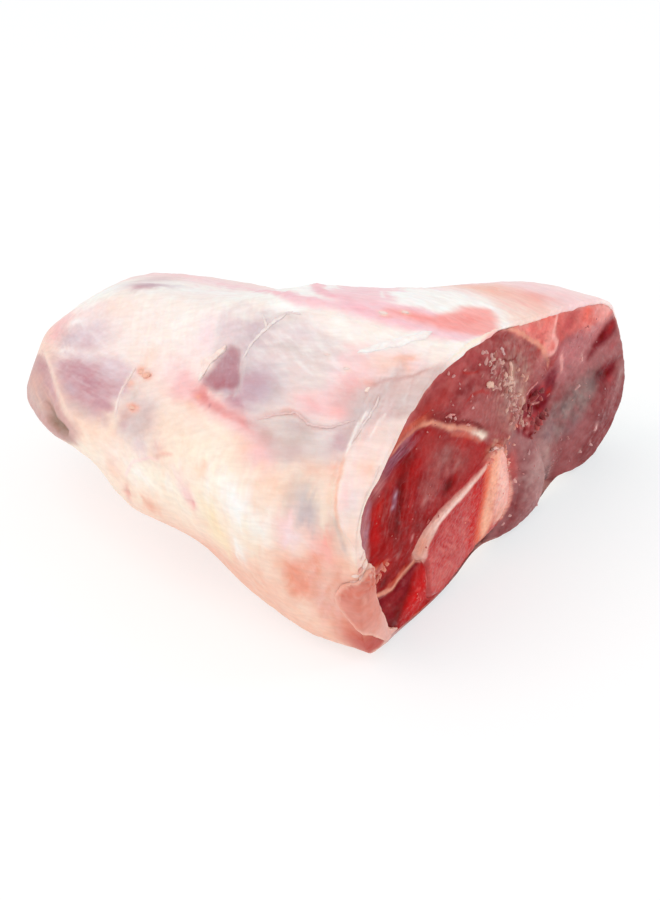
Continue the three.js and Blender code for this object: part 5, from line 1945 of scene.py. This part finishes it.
# crumbs and shreds of fat on the sawn face, placed like its colours
crumbForm = {
    # colour, half width at each end, points
    "shreds": [
        ((232, 179, 159), 1.1, 0.7, [(-14.4, 81.8), (-12.4, 80.6), (-11, 79.5), (-10, 78), (-9.5, 76.5)]),
        ((210, 155, 149), 0.6, 0.4, [(-14, 94), (-13, 91.6), (-12, 89.5)]),
        ((204, 155, 153), 0.6, 0.4, [(-8, 93), (-6.4, 90.6), (-5, 88)]),
        ((212, 153, 141), 0.6, 0.4, [(10.4, 62), (11.4, 59), (10.6, 56)]),
        ((224, 167, 151), 0.7, 0.5, [(-1, 83), (0.4, 80), (1, 76.4), (2.6, 73)]),
        ((228, 163, 153), 0.5, 0.4, [(-2, 47), (1, 45.6), (3.6, 42.4)]),
        ((230, 171, 161), 0.6, 0.4, [(-7, 49), (-4, 48.6), (-1, 47.2)]),
        ((218, 139, 135), 0.4, 0.3, [(18.6, 53.6), (21, 53), (23.4, 51.4)]),
        ((200, 117, 117), 0.5, 0.4, [(13, 61), (16, 62), (20, 62.4)]),
        ((218, 123, 119), 0.5, 0.3, [(-38, 82.6), (-35, 82), (-32, 80)]),
    ],
    # colour, middle, half width
    "crumbs": [
        ((230, 163, 159), (-23.5, 71), 0.5), ((230, 163, 159), (-21.5, 76.5), 0.5), ((218, 149, 147),
        (-35.5, 82), 0.5),
        ((218, 149, 147), (-32, 79), 0.5), ((210, 139, 137), (-39, 101), 0.5), ((210, 139, 137),
        (-36, 98), 0.5),
        ((230, 169, 165), (12.3, 24.5), 0.6), ((214, 155, 153), (11.5, 9.5), 0.5), ((214, 155, 153),
        (8, 8), 0.5),
        ((208, 149, 151), (30.3, 2.2), 0.5), ((208, 149, 151), (33, 14), 0.5), ((220, 159, 157),
        (48.5, 55.5), 0.7),
        ((200, 149, 147), (48, 43), 0.7), ((226, 167, 165), (66, 14), 0.7), ((216, 159, 159), (64, 8),
        0.5),
        ((202, 151, 151), (57, 9), 0.5), ((204, 149, 149), (20, 32), 0.5), ((226, 165, 149), (5.4, 76),
        0.7),
        ((222, 163, 149), (8.4, 72), 0.6), ((220, 159, 145), (11.6, 68.6), 0.6), ((212, 149, 139),
        (4.6, 54), 0.6),
        ((212, 149, 139), (7.6, 50.4), 0.6), ((230, 149, 127), (2.6, 43.6), 0.6), ((240, 167, 147),
        (4.4, 39), 0.5),
        ((240, 165, 149), (5.8, 33), 0.5),
    ],
    # colours, how many, half width from and to, middle, reach along and across
    "scatters": [
        (((208, 149, 143), (194, 125, 123), (218, 165, 153), (180, 112, 104)), 110, (0.25, 0.8),
            (-0.7, 72), (13.3, -22.8), (7.4, -5.1)),
        (((218, 165, 153), (230, 181, 167)), 22, (0.3, 0.9), (1, 73), (6, -10), (4, -3)),
        (((204, 127, 127), (184, 104, 100)), 24, (0.2, 0.42), (-30, 84), (26, -12), (8, 10)),
        (((200, 125, 129), (184, 106, 106)), 18, (0.2, 0.42), (40, 66), (24, 0), (0, 12)),
        (((190, 127, 131), (176, 112, 110)), 20, (0.2, 0.45), (52, 24), (24, 0), (0, 20)),
        (((208, 131, 131), (192, 109, 113)), 16, (0.2, 0.4), (16, 24), (14, 0), (0, 20)),
        (((202, 99, 99), (184, 78, 74)), 18, (0.2, 0.4), (-52, 54), (22, 0), (0, 26)),
        (((230, 119, 111), (220, 83, 77)), 6, (0.25, 0.4), (-43, 12), (4, 0), (0, 4)),
        (((242, 175, 157), (232, 139, 127)), 30, (0.25, 0.6), (1, 44), (8, 0), (0, 6)),
        (((244, 179, 163), (230, 129, 123)), 26, (0.25, 0.5), (6, 28), (2.6, 0), (0, 14)),
        (((172, 64, 66), (148, 44, 48), (184, 84, 82), (126, 32, 36)), 44, (0.4, 1.3), (21.5, 50),
            (5, -9), (5, 3)),
        (((230, 133, 113), (210, 111, 103), (240, 153, 135)), 24, (0.3, 1.0), (-69, 39.4), (5, 2),
            (-1.2, 2.6)),
    ],
}


def makeCrumbs(name):
    form = crumbForm
    random = np.random.default_rng(7)
    parts = []
    addThreads(parts, cutSurface, form["shreds"], 660, strength=0.3)
    crumbs = list(form["crumbs"])
    for shades, count, (low, high), middle, along, across in form["scatters"]:
        for _ in range(count):
            place = np.array(middle) + random.uniform(-1, 1) * np.array(along)
            place = place + random.normal(0, 0.5) * np.array(across)
            size = low + (high - low) * random.random() ** 2
            crumbs.append((shades[random.integers(len(shades))], place, size))
    spots = pelletSpots(cutSurface, [crumb[1] for crumb in crumbs], [crumb[2] for crumb in crumbs])
    turn, radius = rimOutline()
    for seed, (spot, (shade, _, size)) in enumerate(zip(spots, crumbs)):
        away = spot[0][1:] - cutHeart
        edge = np.interp(math.degrees(math.atan2(away[1], away[0])) % 360, turn, radius, period=360)
        if np.hypot(*away) > edge - 2:
            continue  # it would lie off the meat
        points, faces = pelletMesh(spot, size, random.uniform(1.0, 2.6), random.normal(90, 40), seed, 0.45)
        parts.append((points, faces, fatColour(points, shade, 700 + seed, 0.3)))
    return joinParts(name, parts)


def addLegPiece(piece, node, finish):
    piece.data.materials.append(finish)
    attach(piece, "root")
    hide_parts(node)


fatMaterial = fatFinish()
skin = makeSkin()
addLegPiece(skin, "leg_meat", fatMaterial)
print("skin made:", len(skin.data.polygons), "faces")
muscle = makeSawnFace()
addLegPiece(muscle, "leg_meat", muscleFinish())
print("sawn muscle made:", len(muscle.data.polygons), "faces")
bone = makeBone()
addLegPiece(bone, "leg_bone", boneFinish())
print("sawn bone made:", len(bone.data.polygons), "faces")
for name, make in (("fatFlap", makeFlap), ("fatShreds", makeShreds), ("cutCrumbs", makeCrumbs)):
    piece = make(name)
    addLegPiece(piece, "leg_meat", fatMaterial)
    print(name, "made:", len(piece.data.polygons), "faces")

studio = {
    "floorSize": 6.0,
    "floorShade": (0.56, 0.44, 0.42),
    "floorGlow": (0.46, 0.58, 0.6),
    "skyStrength": 0.74,
    # place, aim, size, power
    "lamps": {
        "softBox": ((-0.35, -0.55, 1.05), (0, 0, 0.04), 0.9, 4.6),
        "sideBox": ((0.85, 0.3, 0.4), (0.08, 0, 0.05), 0.3, 1.4),
    },
}


def makeFloor():
    half = studio["floorSize"] / 2
    corners = [(-half, -half, 0), (half, -half, 0), (half, half, 0), (-half, half, 0)]
    mesh = bpy.data.meshes.new("paleFloor")
    mesh.from_pydata(corners, [], [(0, 1, 2, 3)])
    floor = bpy.data.objects.new("paleFloor", mesh)
    bpy.context.scene.collection.objects.link(floor)
    material, _, _, shader = newFinish("paleBoard")
    shader.inputs["Base Color"].default_value = (*studio["floorShade"], 1)
    shader.inputs["Roughness"].default_value = 0.8
    glow = max(studio["floorGlow"])
    shader.inputs["Emission Color"].default_value = (*(part / glow for part in studio["floorGlow"]), 1)
    shader.inputs["Emission Strength"].default_value = glow
    mesh.materials.append(material)


def makeLights():
    world = bpy.data.worlds.new("softRoom")
    bpy.context.scene.world = world
    world.use_nodes = True
    sky = world.node_tree.nodes["Background"]
    sky.inputs["Color"].default_value = (1, 1, 1, 1)
    sky.inputs["Strength"].default_value = studio["skyStrength"]
    for name, (place, aim, size, power) in studio["lamps"].items():
        light = bpy.data.lights.new(name, "AREA")
        light.shape = "SQUARE"
        light.size = size
        light.energy = power
        lamp = bpy.data.objects.new(name, light)
        lamp.location = place
        lamp.rotation_euler = (Vector(aim) - lamp.location).to_track_quat("-Z", "Y").to_euler()
        bpy.context.scene.collection.objects.link(lamp)


viewpoint = {
    "round": 17.75,  # degrees
    "height": 36.0,
    "distance": 1.0,
    "target": (0.0116, 0.004, 0.029),
    "lens": 155.2,
}


def makeCamera():
    view = viewpoint
    round_ = math.radians(view["round"])
    rise = math.radians(view["height"])
    back = Vector((math.sin(round_) * math.cos(rise), -math.cos(round_) * math.cos(rise), math.sin(rise)))
    data = bpy.data.cameras.new("viewCamera")
    data.sensor_fit = "HORIZONTAL"
    data.sensor_width = 36
    data.lens = view["lens"]
    camera = bpy.data.objects.new("viewCamera", data)
    camera.location = Vector(view["target"]) + back * view["distance"]
    camera.rotation_euler = back.to_track_quat("Z", "Y").to_euler()
    bpy.context.scene.collection.objects.link(camera)
    bpy.context.scene.camera = camera


makeFloor()
makeLights()
makeCamera()
bpy.context.scene.view_settings.view_transform = "Standard"
print("floor, lights and camera set")
